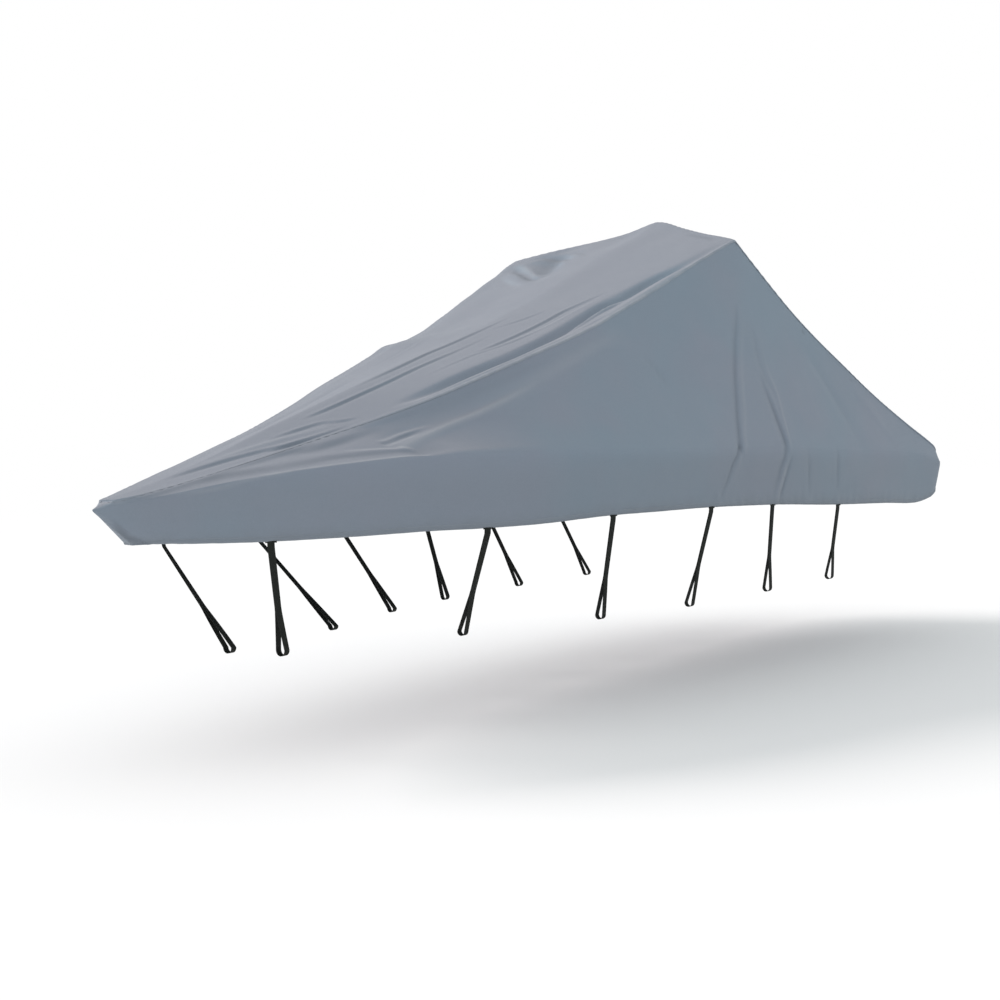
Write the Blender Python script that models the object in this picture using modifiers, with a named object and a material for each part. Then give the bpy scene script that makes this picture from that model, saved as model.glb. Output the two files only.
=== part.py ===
"""Fitted boat cover in marine cloth, in the shape that it takes when it is on.

The cloth is a top cut in two panels, fore and aft, joined over the peak, and two
side panels from the ridge seams down to the hem.  Six webbing ties hang from the
hem on each side, each one a closed loop through a tab sewn behind the hem.

Heights in the tables are above the ground, and lengths run aft from the nose.
The model's own frame has its origin under the crown of the peak, with +X forward,
+Y to port and +Z up.
"""
import math
from collections import namedtuple

import bpy
import numpy as np

# ---- cloth and webbing ----
CLOTH = 0.0016
SEAM_GAP = 0.0012
NOSE_GAP = 0.0036
CLEAR = 0.0005
WEB_WIDTH = 0.038
WEB_THICK = 0.0020

# ---- where the frame's origin lies: on the underside of the cloth at its crown ----
ORIGIN_AFT = 5.1400
ORIGIN_UP = 3.0292

# ---- sections of the cover, from the nose to the stern ----
# "half" is a half width, and "lag" is how far aft of the section's own place a line lies
Station = namedtuple("Station", (
    "aft", "hem_lag", "hem_half", "hem_up", "knuckle_half", "knuckle_up",
    "ridge_lag", "ridge_half", "ridge_up", "crown_lag", "crown_up",
))
STATIONS = [Station(*row) for row in (
    (0.000, 0.225, 0.000, 1.212, 0.000, 1.402, 0.055, 0.000, 1.444, 0.055, 1.444),
    (0.015, 0.225, 0.075, 1.214, 0.012, 1.403, 0.045, 0.030, 1.444, 0.045, 1.448),
    (0.120, 0.170, 0.115, 1.212, 0.088, 1.420, 0.000, 0.072, 1.456, 0.000, 1.460),
    (0.370, 0.090, 0.235, 1.196, 0.248, 1.463, 0.000, 0.145, 1.500, 0.000, 1.508),
    (0.770, 0.040, 0.415, 1.177, 0.460, 1.520, 0.000, 0.230, 1.586, 0.000, 1.612),
    (1.220, 0.010, 0.630, 1.168, 0.685, 1.557, 0.000, 0.310, 1.694, 0.000, 1.750),
    (1.560, 0.000, 0.775, 1.165, 0.835, 1.571, 0.000, 0.385, 1.768, 0.000, 1.852),
    (1.940, 0.000, 0.900, 1.152, 0.955, 1.565, 0.000, 0.490, 1.867, 0.000, 1.963),
    (2.340, 0.000, 1.000, 1.145, 1.050, 1.548, 0.000, 0.605, 1.990, 0.000, 2.080),
    (2.800, 0.000, 1.080, 1.150, 1.130, 1.522, 0.000, 0.690, 2.132, 0.000, 2.200),
    (3.310, 0.000, 1.130, 1.139, 1.180, 1.495, 0.000, 0.765, 2.283, 0.020, 2.360),
    (3.700, 0.000, 1.155, 1.130, 1.200, 1.475, 0.000, 0.800, 2.414, 0.060, 2.505),
    (4.300, 0.000, 1.175, 1.103, 1.220, 1.445, 0.000, 0.870, 2.673, 0.260, 2.810),
    (4.590, 0.000, 1.179, 1.087, 1.224, 1.430, 0.000, 0.895, 2.775, 0.420, 2.985),
    (4.680, 0.000, 1.180, 1.081, 1.225, 1.425, 0.000, 0.900, 2.802, 0.460, 3.030),
    (4.770, 0.000, 1.181, 1.075, 1.225, 1.420, 0.000, 0.912, 2.750, 0.460, 2.978),
    (5.320, 0.000, 1.180, 1.034, 1.225, 1.388, 0.000, 0.980, 2.322, 0.290, 2.565),
    (6.120, 0.000, 1.172, 0.988, 1.215, 1.350, 0.000, 1.070, 1.805, 0.100, 1.930),
    (6.620, 0.000, 1.160, 0.962, 1.205, 1.325, 0.000, 1.125, 1.535, 0.020, 1.590),
    (6.930, -0.020, 1.160, 0.990, 1.205, 1.270, 0.000, 1.160, 1.385, 0.000, 1.415),
    (7.015, -0.030, 1.110, 1.045, 1.135, 1.215, 0.000, 1.100, 1.335, 0.000, 1.360),
)]
NOSE_ROW = 1
PEAK_ROW = 14
STERN_ROW = len(STATIONS) - 1
ROWS_PER_STATION = 3

# ---- shape between the lines; the steps are where the grid has its columns ----
SIDE_STEPS = (0.0, 0.30, 0.62, 0.86, 0.96, 1.06, 1.16, 1.30, 1.45, 1.60, 1.74, 1.86, 1.94, 1.98, 2.0)
TOP_STEPS = (0.0, 0.025, 0.06, 0.11, 0.20, 0.34, 0.50, 0.66, 0.82, 1.0)
KNUCKLE_ROUND = 0.10
RIDGE_ROUND = 0.030
CROWN_ROUND = 0.06
PORT_SAG = 1.00
STARBOARD_SAG = 0.84
SIDE_SAG = 0.033
STERN_BULGE = 0.05
VALLEY_DEEP = 0.004
VALLEY_FROM_SEAM = 0.050
VALLEY_REACH = 0.035

# ---- how far each ridge seam stands over (or under) its even line: (aft, rise) ----
PORT_RIDGE = ((4.30, 0.0), (4.66, 0.008), (5.20, 0.002), (5.90, 0.004), (6.40, 0.0))
STARBOARD_RIDGE = (
    (1.30, 0.0), (1.68, 0.012), (2.10, 0.014), (2.60, 0.008), (2.88, 0.014), (3.02, 0.026), (3.16, 0.008),
    (3.30, -0.008), (3.46, -0.010), (3.72, 0.002), (3.95, 0.0), (4.15, -0.010), (4.40, -0.006), (4.62, 0.018),
    (4.78, 0.012), (5.00, 0.0),
)

# ---- the main folds: ridges where the height is above 0, troughs where it is below ----
# "across" is the height up on a side panel and the half width, port positive, on the top
Fold = namedtuple("Fold", ("aft", "across", "to_aft", "to_across", "height", "to_height", "reach"))
PORT_FOLDS = [Fold(*row) for row in (
    (3.29, 2.13, 2.16, 1.77, 0.004, 0.018, 0.050),
    (2.16, 1.77, 1.53, 1.62, 0.018, 0.014, 0.045),
    (2.90, 2.06, 1.75, 1.74, -0.006, -0.016, 0.080),
    (4.49, 2.34, 4.13, 1.47, 0.000, -0.016, 0.050),
    (4.13, 1.47, 4.00, 1.30, -0.016, -0.004, 0.045),
    (4.62, 2.20, 4.67, 1.73, 0.000, -0.014, 0.045),
    (4.67, 1.73, 4.66, 1.44, -0.014, -0.018, 0.045),
    (4.66, 1.44, 4.61, 1.29, -0.018, -0.004, 0.045),
    (1.47, 1.67, 0.55, 1.53, -0.016, -0.004, 0.050),
    (1.50, 1.62, 0.80, 1.53, 0.014, 0.004, 0.045),
    (1.20, 1.68, 0.40, 1.50, 0.010, 0.003, 0.050),
)]
STARBOARD_FOLDS = [Fold(*row) for row in (
    (3.20, 2.12, 1.70, 1.66, 0.000, 0.020, 0.080),
    (3.60, 2.10, 2.95, 1.30, 0.000, -0.014, 0.055),
    (4.55, 2.30, 4.48, 1.40, 0.000, -0.016, 0.050),
    (5.05, 2.10, 5.40, 1.30, 0.000, -0.014, 0.055),
    (1.40, 1.65, 0.60, 1.52, -0.012, -0.004, 0.050),
)]
FORE_FOLDS = [Fold(*row) for row in (
    (1.48, 0.01, 2.14, 0.13, -0.004, -0.010, 0.045),
    (2.14, 0.13, 3.20, 0.05, -0.010, -0.003, 0.045),
    (2.70, 0.30, 3.55, 0.49, -0.004, -0.010, 0.045),
    (2.00, 0.42, 2.98, 0.58, 0.008, 0.018, 0.055),
    (2.98, 0.58, 3.97, 0.76, 0.018, 0.010, 0.055),
    (4.46, -0.72, 4.32, -0.40, 0.014, 0.012, 0.060),
    (4.68, -0.68, 4.56, -0.34, -0.018, -0.014, 0.080),
    (4.84, -0.40, 5.00, -0.04, -0.012, -0.022, 0.100),
    (0.45, 0.05, 1.50, 0.24, -0.003, -0.010, 0.045),
    (0.60, -0.08, 1.90, -0.22, -0.003, -0.010, 0.050),
)]
AFT_FOLDS = [Fold(*row) for row in (
    (5.30, 0.10, 6.60, 0.35, -0.006, -0.014, 0.090),
    (5.10, -0.30, 6.40, -0.62, -0.008, -0.012, 0.080),
)]
FOLD_FADE = 0.06

# ---- the webbing ties: where each hangs from the hem, and the foot of its loop ----
Tie = namedtuple("Tie", ("aft", "foot_aft", "foot_half", "foot_up", "foot_wide"))
TIES = [Tie(*row) for row in (
    (0.80, 1.05, 0.20, 0.650, 0.062),
    (1.96, 2.19, 0.50, 0.625, 0.050),
    (2.89, 3.09, 0.82, 0.620, 0.050),
    (3.84, 3.82, 0.98, 0.615, 0.050),
    (4.55, 4.70, 1.02, 0.615, 0.050),
    (5.42, 5.54, 1.02, 0.610, 0.050),
)]
FOOT_DEEP = 0.100
FOOT_CORNER = 0.012
HEAD_DEEP = 0.030
HEAD_CORNER = 0.002
PLIES_PART_AT = 0.6

# ---- the tabs: the route is share of the length, then 0 on the cloth to 1 stood off it ----
TAB_LENGTH = 0.062
TAB_HEIGHT = 0.022
TAB_THICK = 0.0024
TAB_BELOW_HEM = 0.006
TAB_ROUTE = ((-0.50, 0), (-0.44, 0), (-0.36, 1), (0.36, 1), (0.44, 0), (0.50, 0))

# ---- how finely the hem is read where a tie hangs from it ----
HEM_SAMPLES = 400
HEM_SPAN = 0.02
SKIRT_SPAN = 0.2


def smooth_through(values, at):
    """Curve through values at 0, 1, 2...: a cubic per run, with no overshoot.

    The slope at a knot is the harmonic mean of the two runs beside it, or zero
    where they change sign; an end takes its own run's slope.
    """
    runs = np.diff(values)
    slopes = np.empty(len(values))
    slopes[0] = runs[0]
    slopes[-1] = runs[-1]
    left = runs[:-1]
    right = runs[1:]
    same = left * right > 0
    total = np.where(same, left + right, 1.0)
    slopes[1:-1] = np.where(same, 2 * left * right / total, 0.0)
    knot = np.clip(np.floor(at).astype(int), 0, len(runs) - 1)
    s = at - knot
    low = values[knot]
    high = values[knot + 1]
    return (
        low * (2 * s**3 - 3 * s**2 + 1) + high * (3 * s**2 - 2 * s**3)
        + slopes[knot] * (s**3 - 2 * s**2 + s) + slopes[knot + 1] * (s**3 - s**2)
    )


def station_value(column, rows):
    """One column of STATIONS at fractional rows, with a sharp edge at NOSE_ROW."""
    values = np.array([getattr(station, column) for station in STATIONS])
    straight = np.interp(rows, (0, NOSE_ROW), values[:NOSE_ROW + 1])
    return np.where(rows <= NOSE_ROW, straight, smooth_through(values[NOSE_ROW:], rows - NOSE_ROW))


def line(rows, lag, half, up):
    """A lengthwise line of the cover on the port side: points, one per row."""
    aft = station_value("aft", rows)
    if lag:
        aft = aft + station_value(lag, rows)
    width = station_value(half, rows) if half else np.zeros(len(rows))
    return np.stack([ORIGIN_AFT - aft, width, station_value(up, rows) - ORIGIN_UP], axis=-1)


def eased_ramp(t, corner, reach):
    """0 below the corner and t - corner above it, joined by a parabola."""
    past = t - corner
    bend = (past + reach)**2 / (4 * reach)
    return np.where(past < -reach, 0.0, np.where(past > reach, past, bend))


def section(rows, t, ridge_rises):
    """Points of the port half: t runs 0 hem, 1 knuckle, 2 ridge seam, 3 crown."""
    hem = line(rows, "hem_lag", "hem_half", "hem_up")
    knuckle = line(rows, None, "knuckle_half", "knuckle_up")
    ridge = line(rows, "ridge_lag", "ridge_half", "ridge_up")
    places, rises = np.array(ridge_rises).T
    at = np.interp(ORIGIN_AFT - ridge[:, 0], places, np.arange(len(places)))
    ridge[:, 2] += smooth_through(rises, at)
    crown = line(rows, "crown_lag", None, "crown_up")
    skirt = (knuckle - hem)[:, None, :]
    side = (ridge - knuckle)[:, None, :]
    top = (crown - ridge)[:, None, :]
    t = t[None, :, None]
    return (
        hem[:, None, :] + skirt * t
        + (side - skirt) * eased_ramp(t, 1.0, KNUCKLE_ROUND)
        + (top - side) * eased_ramp(t, 2.0, RIDGE_ROUND)
    )


def bump(t, low, high):
    """1 half way from low to high, falling as a parabola to 0 at both."""
    s = np.clip((t - low) / (high - low), 0, 1)
    return 4 * s * (1 - s)


def normals(points):
    """Unit outward normals of a grid of points, from the cross of its two directions."""
    along = np.gradient(points, axis=0)
    across = np.gradient(points, axis=1)
    cross = np.cross(along, across)
    return cross / np.linalg.norm(cross, axis=-1, keepdims=True)


def pulled_in(points, side, amount):
    """Move one edge of a grid towards its next line of points by a fixed amount."""
    edge = {"first_row": points[0], "last_row": points[-1],
            "first_column": points[:, 0], "last_column": points[:, -1]}[side]
    inner = {"first_row": points[1], "last_row": points[-2],
             "first_column": points[:, 1], "last_column": points[:, -2]}[side]
    step = inner - edge
    edge += step / np.linalg.norm(step, axis=-1, keepdims=True) * amount


def mirrored(points):
    """The same points on the starboard side."""
    return points * (1, -1, 1)


def fold_heights(along, across, folds):
    """Height of the folds at each point: a bell across each fold's straight run."""
    total = np.zeros(along.shape)
    for fold in folds:
        run = np.array((fold.to_aft - fold.aft, fold.to_across - fold.across))
        share = ((along - fold.aft) * run[0] + (across - fold.across) * run[1]) / (run @ run)
        share = np.clip(share, 0, 1)
        away = np.hypot(along - fold.aft - share * run[0], across - fold.across - share * run[1])
        total += (fold.height + (fold.to_height - fold.height) * share) * np.exp(-(away / fold.reach)**2)
    return total


def edge_fade(points):
    """0 on a grid's four edges and 1 from FOLD_FADE inside them."""
    fade = np.ones(points.shape[:2])
    for axis in (0, 1):
        steps = np.linalg.norm(np.diff(points, axis=axis), axis=-1)
        walked = np.cumsum(steps, axis=axis)
        start = np.zeros_like(np.take(walked, [0], axis=axis))
        walked = np.concatenate([start, walked], axis=axis)
        back = np.take(walked, [-1], axis=axis) - walked
        fade = fade * np.clip(np.minimum(walked, back) / FOLD_FADE, 0, 1)
    return fade


def folded(points, folds, across):
    """Push a grid of points out and in along its normals by the folds' heights."""
    height = fold_heights(ORIGIN_AFT - points[..., 0], across, folds) * edge_fade(points)
    return points + normals(points) * height[..., None]


def side_surface(ridge_rises):
    """A side's cloth from hem to ridge seam, on port, drawn in a little between them."""
    rows = np.linspace(0, STERN_ROW, ROWS_PER_STATION * STERN_ROW + 1)
    t = np.array(SIDE_STEPS)
    points = section(rows, t, ridge_rises)
    knuckle = np.argmax(t >= 1.0)
    tall = np.linalg.norm(points[:, -1] - points[:, knuckle], axis=-1)
    sag = SIDE_SAG * tall[:, None] * bump(t, 1.0, 2.0)[None, :]
    return points - normals(points) * sag[..., None]


def side_panel_points(sign):
    """One side panel, clear of the ridge seam, the stern seam and its fellow at the nose."""
    points = side_surface(PORT_RIDGE if sign > 0 else STARBOARD_RIDGE)
    points = folded(points, PORT_FOLDS if sign > 0 else STARBOARD_FOLDS, points[..., 2] + ORIGIN_UP)
    pulled_in(points, "last_column", SEAM_GAP / 2)
    pulled_in(points, "last_row", SEAM_GAP / 2)
    pulled_in(points, "first_row", NOSE_GAP / 2)
    return points if sign > 0 else mirrored(points)[:, ::-1]


def half_top(rows, sag, ridge_rises):
    """One half of the top, on port: it sags between seam and crown, with a valley beside the seam."""
    away = 1 - np.array(TOP_STEPS)
    fall = np.sqrt(away**2 + CROWN_ROUND**2) - CROWN_ROUND
    half = section(rows, 3 - (fall / fall[0])**sag, ridge_rises)
    half[..., 1] = half[:, :1, 1] * away
    from_seam = half[:, :1, 1] - half[..., 1]
    valley = VALLEY_DEEP * np.exp(-((from_seam - VALLEY_FROM_SEAM) / VALLEY_REACH)**2)
    return half - normals(half) * (valley * edge_fade(half))[..., None]


def top_surface(first, last):
    """Both halves of the top between two stations, port ridge seam to starboard."""
    rows = np.linspace(first, last, ROWS_PER_STATION * (last - first) + 1)
    port = half_top(rows, PORT_SAG, PORT_RIDGE)
    starboard = half_top(rows, STARBOARD_SAG, STARBOARD_RIDGE)
    return np.concatenate([port, mirrored(starboard[:, -2::-1])], axis=1)


def fore_panel_points():
    """The fore top, from the nose up to the seam over the peak."""
    points = top_surface(NOSE_ROW, PEAK_ROW)
    points = folded(points, FORE_FOLDS, points[..., 1])
    for edge in ("first_column", "last_column", "first_row", "last_row"):
        pulled_in(points, edge, SEAM_GAP / 2)
    return points


def aft_panel_points():
    """The aft top, carried on down over the stern to its own hem."""
    points = top_surface(PEAK_ROW, STERN_ROW)
    corner = side_surface(PORT_RIDGE)[-1, -2::-1]
    across = points[-1, :, 1] / points[-1, 0, 1]
    rise = points[-1, :, 2] - points[-1, 0, 2]
    drop = []
    for step, edge in enumerate(corner, start=1):
        down = step / len(corner)
        drop.append(np.stack([
            edge[0] - STERN_BULGE * (1 - across**2) * math.sin(math.pi / 2 * down),
            edge[1] * across,
            edge[2] + rise * (1 - down),
        ], axis=-1))
    points = np.concatenate([points, np.array(drop)], axis=0)
    points = folded(points, AFT_FOLDS, points[..., 1])
    for edge in ("first_column", "last_column", "first_row"):
        pulled_in(points, edge, SEAM_GAP / 2)
    return points


def unit(vector):
    return vector / np.linalg.norm(vector)


def hem_frame(aft):
    """Where a tie hangs: a point on the hem, the way along it, down the skirt and in."""
    rows = np.linspace(NOSE_ROW, STERN_ROW, HEM_SAMPLES)
    row = np.interp(aft, station_value("aft", rows) + station_value("hem_lag", rows), rows)
    around = section(np.array([row - HEM_SPAN, row + HEM_SPAN]), np.array([0.0, SKIRT_SPAN]), PORT_RIDGE)
    point = around[:, 0].mean(axis=0)
    along = unit(around[0, 0] - around[1, 0])
    down = unit(point - around[:, 1].mean(axis=0))
    return point, along, down, unit(np.cross(down, along))


def head_path(tie):
    """The top of a tie's loop, over the tab, from its outer leg to its inner one."""
    point, _, down, inward = hem_frame(tie.aft)
    tab_in = CLOTH / 2 + CLEAR + WEB_THICK + CLEAR + TAB_THICK / 2
    ply = TAB_THICK / 2 + CLEAR + WEB_THICK / 2
    top = TAB_BELOW_HEM - TAB_HEIGHT - CLEAR - WEB_THICK
    over = (
        (-ply, HEAD_DEEP), (-ply, top + HEAD_CORNER), (-ply / 2, top),
        (ply / 2, top), (ply, top + HEAD_CORNER), (ply, HEAD_DEEP),
    )
    return [point + inward * (tab_in + side) + down * fall for side, fall in over]


def foot_path(tie):
    """The bottom of a tie's loop, from its outer leg round to its inner one."""
    reach = tie.foot_wide / 2
    low = tie.foot_up - FOOT_DEEP
    round_foot = (
        (reach, tie.foot_up), (reach, low + FOOT_CORNER), (reach - FOOT_CORNER, low),
        (FOOT_CORNER - reach, low), (-reach, low + FOOT_CORNER), (-reach, tie.foot_up),
    )
    return [np.array((ORIGIN_AFT - tie.foot_aft, tie.foot_half + out, up - ORIGIN_UP))
            for out, up in round_foot]


def leg_point(head, foot, outward, share, side):
    """A point of a leg: its plies lie together down to PLIES_PART_AT, and part below it."""
    middle = (head[0] + head[-1]) / 2 * (1 - share) + (foot[0] + foot[-1]) / 2 * share
    apart = max(share - PLIES_PART_AT, 0) / (1 - PLIES_PART_AT)
    close = np.linalg.norm(head[0] - head[-1]) / 2
    wide = np.linalg.norm(foot[0] - foot[-1]) / 2
    way = unit(outward * (1 - share) + np.array((0.0, 1.0, 0.0)) * share)
    return middle + way * side * (close + (wide - close) * apart)


def tie_ribbon(sign, tie):
    """A tie's two edges: its width turns from the hem's way at the head to fore and aft."""
    head = head_path(tie)
    foot = foot_path(tie)
    shares = (PLIES_PART_AT / 2, PLIES_PART_AT)
    _, along, _, inward = hem_frame(tie.aft)
    outer = [leg_point(head, foot, -inward, share, 1) for share in shares]
    inner = [leg_point(head, foot, -inward, share, -1) for share in shares[::-1]]
    path = np.array(head[::-1] + outer + foot + inner)
    turn = [0.0] * len(head) + list(shares) + [1.0] * len(foot) + list(shares[::-1])
    forward = np.array((1.0, 0.0, 0.0))
    width = np.array([unit(along * (1 - share) + forward * share) for share in turn])
    edges = np.stack([path - width * WEB_WIDTH / 2, path + width * WEB_WIDTH / 2], axis=1)
    return edges if sign > 0 else mirrored(edges)[:, ::-1]


def tab_strip(sign, tie):
    """The strip sewn behind the hem: it stands off the cloth where the tie goes round it."""
    point, along, down, inward = hem_frame(tie.aft)
    sewn = CLOTH / 2 + CLEAR + TAB_THICK / 2
    stand = WEB_THICK + CLEAR
    rows = []
    for share, off in TAB_ROUTE:
        centre = point + along * share * TAB_LENGTH + inward * (sewn + stand * off)
        rows.append([centre + down * (TAB_BELOW_HEM - TAB_HEIGHT), centre + down * TAB_BELOW_HEM])
    rows = np.array(rows)
    return rows if sign > 0 else mirrored(rows)[:, ::-1]


def new_material(name, color, roughness):
    material = bpy.data.materials.new(name)
    material.use_nodes = True
    shader = material.node_tree.nodes["Principled BSDF"]
    shader.inputs["Base Color"].default_value = (*color, 1.0)
    shader.inputs["Roughness"].default_value = roughness
    shader.inputs["Metallic"].default_value = 0.0
    return material


def sheet(name, points, thickness, material, collection, ring=False):
    """A grid of quads through the points, given its thickness; a ring closes on itself."""
    rows, columns = points.shape[:2]
    index = np.arange(rows * columns).reshape(rows, columns)
    if ring:
        index = np.concatenate([index, index[:1]], axis=0)
    faces = np.stack([index[:-1, :-1], index[:-1, 1:], index[1:, 1:], index[1:, :-1]], axis=-1)
    mesh = bpy.data.meshes.new(name)
    mesh.from_pydata(points.reshape(-1, 3).tolist(), [], faces.reshape(-1, 4).tolist())
    mesh.materials.append(material)
    mesh.shade_smooth()
    piece = bpy.data.objects.new(name, mesh)
    collection.objects.link(piece)
    thick = piece.modifiers.new("thickness", "SOLIDIFY")
    thick.thickness = thickness
    thick.offset = 0.0


def build():
    for old in list(bpy.data.objects):
        bpy.data.objects.remove(old)
    cover = bpy.data.collections.new("boat cover")
    bpy.context.scene.collection.children.link(cover)
    top_cloth = new_material("top cloth", (0.33, 0.34, 0.38), 0.85)
    side_cloth = new_material("side cloth", (0.22, 0.25, 0.29), 0.85)
    webbing = new_material("webbing", (0.012, 0.014, 0.013), 0.75)
    sheet("fore_panel", fore_panel_points(), CLOTH, top_cloth, cover)
    sheet("aft_panel", aft_panel_points(), CLOTH, top_cloth, cover)
    for side, sign in (("port", 1), ("starboard", -1)):
        sheet(f"side_panel_{side}", side_panel_points(sign), CLOTH, side_cloth, cover)
        for number, tie in enumerate(TIES, start=1):
            sheet(f"tab_{side}_{number}", tab_strip(sign, tie), TAB_THICK, webbing, cover)
            sheet(f"tie_{side}_{number}", tie_ribbon(sign, tie), WEB_THICK, webbing, cover, ring=True)


build()
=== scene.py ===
import math
from collections import namedtuple

import bpy
import numpy as np
from mathutils import Matrix, Vector


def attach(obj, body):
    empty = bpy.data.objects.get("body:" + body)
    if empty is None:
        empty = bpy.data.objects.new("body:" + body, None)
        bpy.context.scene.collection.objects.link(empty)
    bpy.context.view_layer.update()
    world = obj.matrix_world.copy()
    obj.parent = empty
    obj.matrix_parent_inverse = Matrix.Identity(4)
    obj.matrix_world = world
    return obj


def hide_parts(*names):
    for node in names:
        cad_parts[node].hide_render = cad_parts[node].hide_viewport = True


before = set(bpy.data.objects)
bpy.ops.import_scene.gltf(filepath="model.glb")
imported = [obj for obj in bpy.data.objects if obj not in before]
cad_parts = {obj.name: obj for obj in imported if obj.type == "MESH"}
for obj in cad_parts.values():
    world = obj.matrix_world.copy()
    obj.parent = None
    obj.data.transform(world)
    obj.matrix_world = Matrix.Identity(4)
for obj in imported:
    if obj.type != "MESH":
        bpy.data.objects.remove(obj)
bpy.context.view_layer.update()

# ---------------------------------------------------------------------------
# The view: a camera off the port bow, a pale floor 3.03 m under the crown, an
# even pale sky and a wide soft key light from the starboard bow.
# ---------------------------------------------------------------------------
GROUND = -3.0292
CAMERA_AT = Vector((11.307, 7.368, -1.2222))
CAMERA_YAW = math.radians(218.10)
CAMERA_DOWN = math.radians(2.79)
CAMERA_ROLL = math.radians(2.96)
SENSOR = 36.0
FOCAL_PIXELS = 1920.6
IMAGE_PIXELS = 1000

forward = Vector((
    math.cos(CAMERA_YAW) * math.cos(CAMERA_DOWN),
    math.sin(CAMERA_YAW) * math.cos(CAMERA_DOWN),
    -math.sin(CAMERA_DOWN),
))
level_right = forward.cross(Vector((0.0, 0.0, 1.0))).normalized()
upright = level_right.cross(forward)
camera_right = level_right * math.cos(CAMERA_ROLL) - upright * math.sin(CAMERA_ROLL)
camera_up = level_right * math.sin(CAMERA_ROLL) + upright * math.cos(CAMERA_ROLL)
lens = bpy.data.cameras.new("camera")
lens.sensor_width = SENSOR
lens.lens = FOCAL_PIXELS / IMAGE_PIXELS * SENSOR
lens.clip_end = 200.0
camera = bpy.data.objects.new("camera", lens)
turned = Matrix((camera_right, camera_up, -forward)).transposed().to_4x4()
camera.matrix_world = Matrix.Translation(CAMERA_AT) @ turned
bpy.context.collection.objects.link(camera)
bpy.context.scene.camera = camera
bpy.context.scene.view_settings.view_transform = "Standard"


class Socket:
    """A socket of a node tree, on which + - * / and the methods below add nodes."""

    def __init__(self, tree, socket=None):
        self.tree = tree
        self.socket = socket

    def node(self, kind, settings=None, inputs=None, output=0):
        """Any other node: its type, its settings first, then its sockets' values or links."""
        made = self.tree.nodes.new(kind)
        for name, value in (settings or {}).items():
            setattr(made, name, value)
        for name, value in (inputs or {}).items():
            if isinstance(value, Socket):
                self.tree.links.new(value.socket, made.inputs[name])
            else:
                made.inputs[name].default_value = value
        return Socket(self.tree, made.outputs[output] if made.outputs else None)

    def math(self, operation, *values):
        return self.node("ShaderNodeMath", {"operation": operation}, dict(enumerate(values)))

    def __add__(self, other):
        return self.math("ADD", self, other)

    def __radd__(self, other):
        return self.math("ADD", other, self)

    def __sub__(self, other):
        return self.math("SUBTRACT", self, other)

    def __mul__(self, other):
        return self.math("MULTIPLY", self, other)

    def __truediv__(self, other):
        return self.math("DIVIDE", self, other)

    def sine(self):
        return self.math("SINE", self)

    def magnitude(self):
        return self.math("ABSOLUTE", self)

    def fraction(self):
        return self.math("FRACT", self)

    def smooth(self, low, high, at_low=0.0, at_high=1.0):
        """at_low up to low, at_high from high on, and a smooth step between."""
        return self.node(
            "ShaderNodeMapRange", {"interpolation_type": "SMOOTHSTEP"},
            {"Value": self, "From Min": low, "From Max": high, "To Min": at_low, "To Max": at_high},
        )

    def blend(self, first, second):
        """The colour first where this factor is 0 or less and second where it is 1, mixed between."""
        return self.node("ShaderNodeMix", {"data_type": "RGBA"}, {0: self, 6: first, 7: second}, 2)


def new_material(name):
    """A material with an empty tree, and the start for its sockets."""
    material = bpy.data.materials.new(name)
    material.use_nodes = True
    material.node_tree.nodes.clear()
    return material, Socket(material.node_tree)


FLOOR_RADIUS = 60.0
FLOOR_SIDES = 96
FLOOR_TINT = (0.86, 0.86, 0.86, 1.0)
FLOOR_FADES = (10.0, 30.0)

rim_turns = np.linspace(0, 2 * math.pi, FLOOR_SIDES, endpoint=False)
rim = np.stack([
    np.cos(rim_turns) * FLOOR_RADIUS,
    np.sin(rim_turns) * FLOOR_RADIUS,
    np.full(FLOOR_SIDES, GROUND),
], axis=-1)
floor_mesh = bpy.data.meshes.new("floor")
floor_mesh.from_pydata(rim.tolist(), [], [list(range(FLOOR_SIDES))])
floor = bpy.data.objects.new("floor", floor_mesh)
bpy.context.collection.objects.link(floor)
floor_material, start = new_material("floor")
from_centre = start.node(
    "ShaderNodeVectorMath", {"operation": "LENGTH"},
    {0: start.node("ShaderNodeTexCoord", output="Object")}, "Value",
)
paint = start.node("ShaderNodeBsdfDiffuse", None, {"Color": FLOOR_TINT})
nothing = start.node("ShaderNodeBsdfTransparent")
faded = start.node("ShaderNodeMixShader", None, {0: from_centre.smooth(*FLOOR_FADES), 1: paint, 2: nothing})
start.node("ShaderNodeOutputMaterial", None, {"Surface": faded})
floor_mesh.materials.append(floor_material)

SKY_SEEN = (1.0, 1.0, 1.0, 1.0)
SKY_LIGHT = (0.96, 0.99, 1.0, 1.0)
SKY_STRENGTH = 0.90
KEY_FROM = Vector((0.25, -0.80, 0.50))
KEY_STRENGTH = 2.20
KEY_TINT = (1.0, 0.93, 0.91)
KEY_SPREAD = math.radians(24)

world = bpy.data.worlds.new("studio")
bpy.context.scene.world = world
world.use_nodes = True
world.node_tree.nodes.clear()
start = Socket(world.node_tree)
seen = start.node("ShaderNodeBackground", None, {"Color": SKY_SEEN, "Strength": 1.0})
light = start.node("ShaderNodeBackground", None, {"Color": SKY_LIGHT, "Strength": SKY_STRENGTH})
by_eye = start.node("ShaderNodeLightPath", output="Is Camera Ray")
sky = start.node("ShaderNodeMixShader", None, {0: by_eye, 1: light, 2: seen})
start.node("ShaderNodeOutputWorld", None, {"Surface": sky})
key_light = bpy.data.lights.new("key", "SUN")
key_light.energy = KEY_STRENGTH
key_light.color = KEY_TINT
key_light.angle = KEY_SPREAD
key = bpy.data.objects.new("key", key_light)
key.rotation_euler = KEY_FROM.to_track_quat("Z", "Y").to_euler()
bpy.context.collection.objects.link(key)

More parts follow.
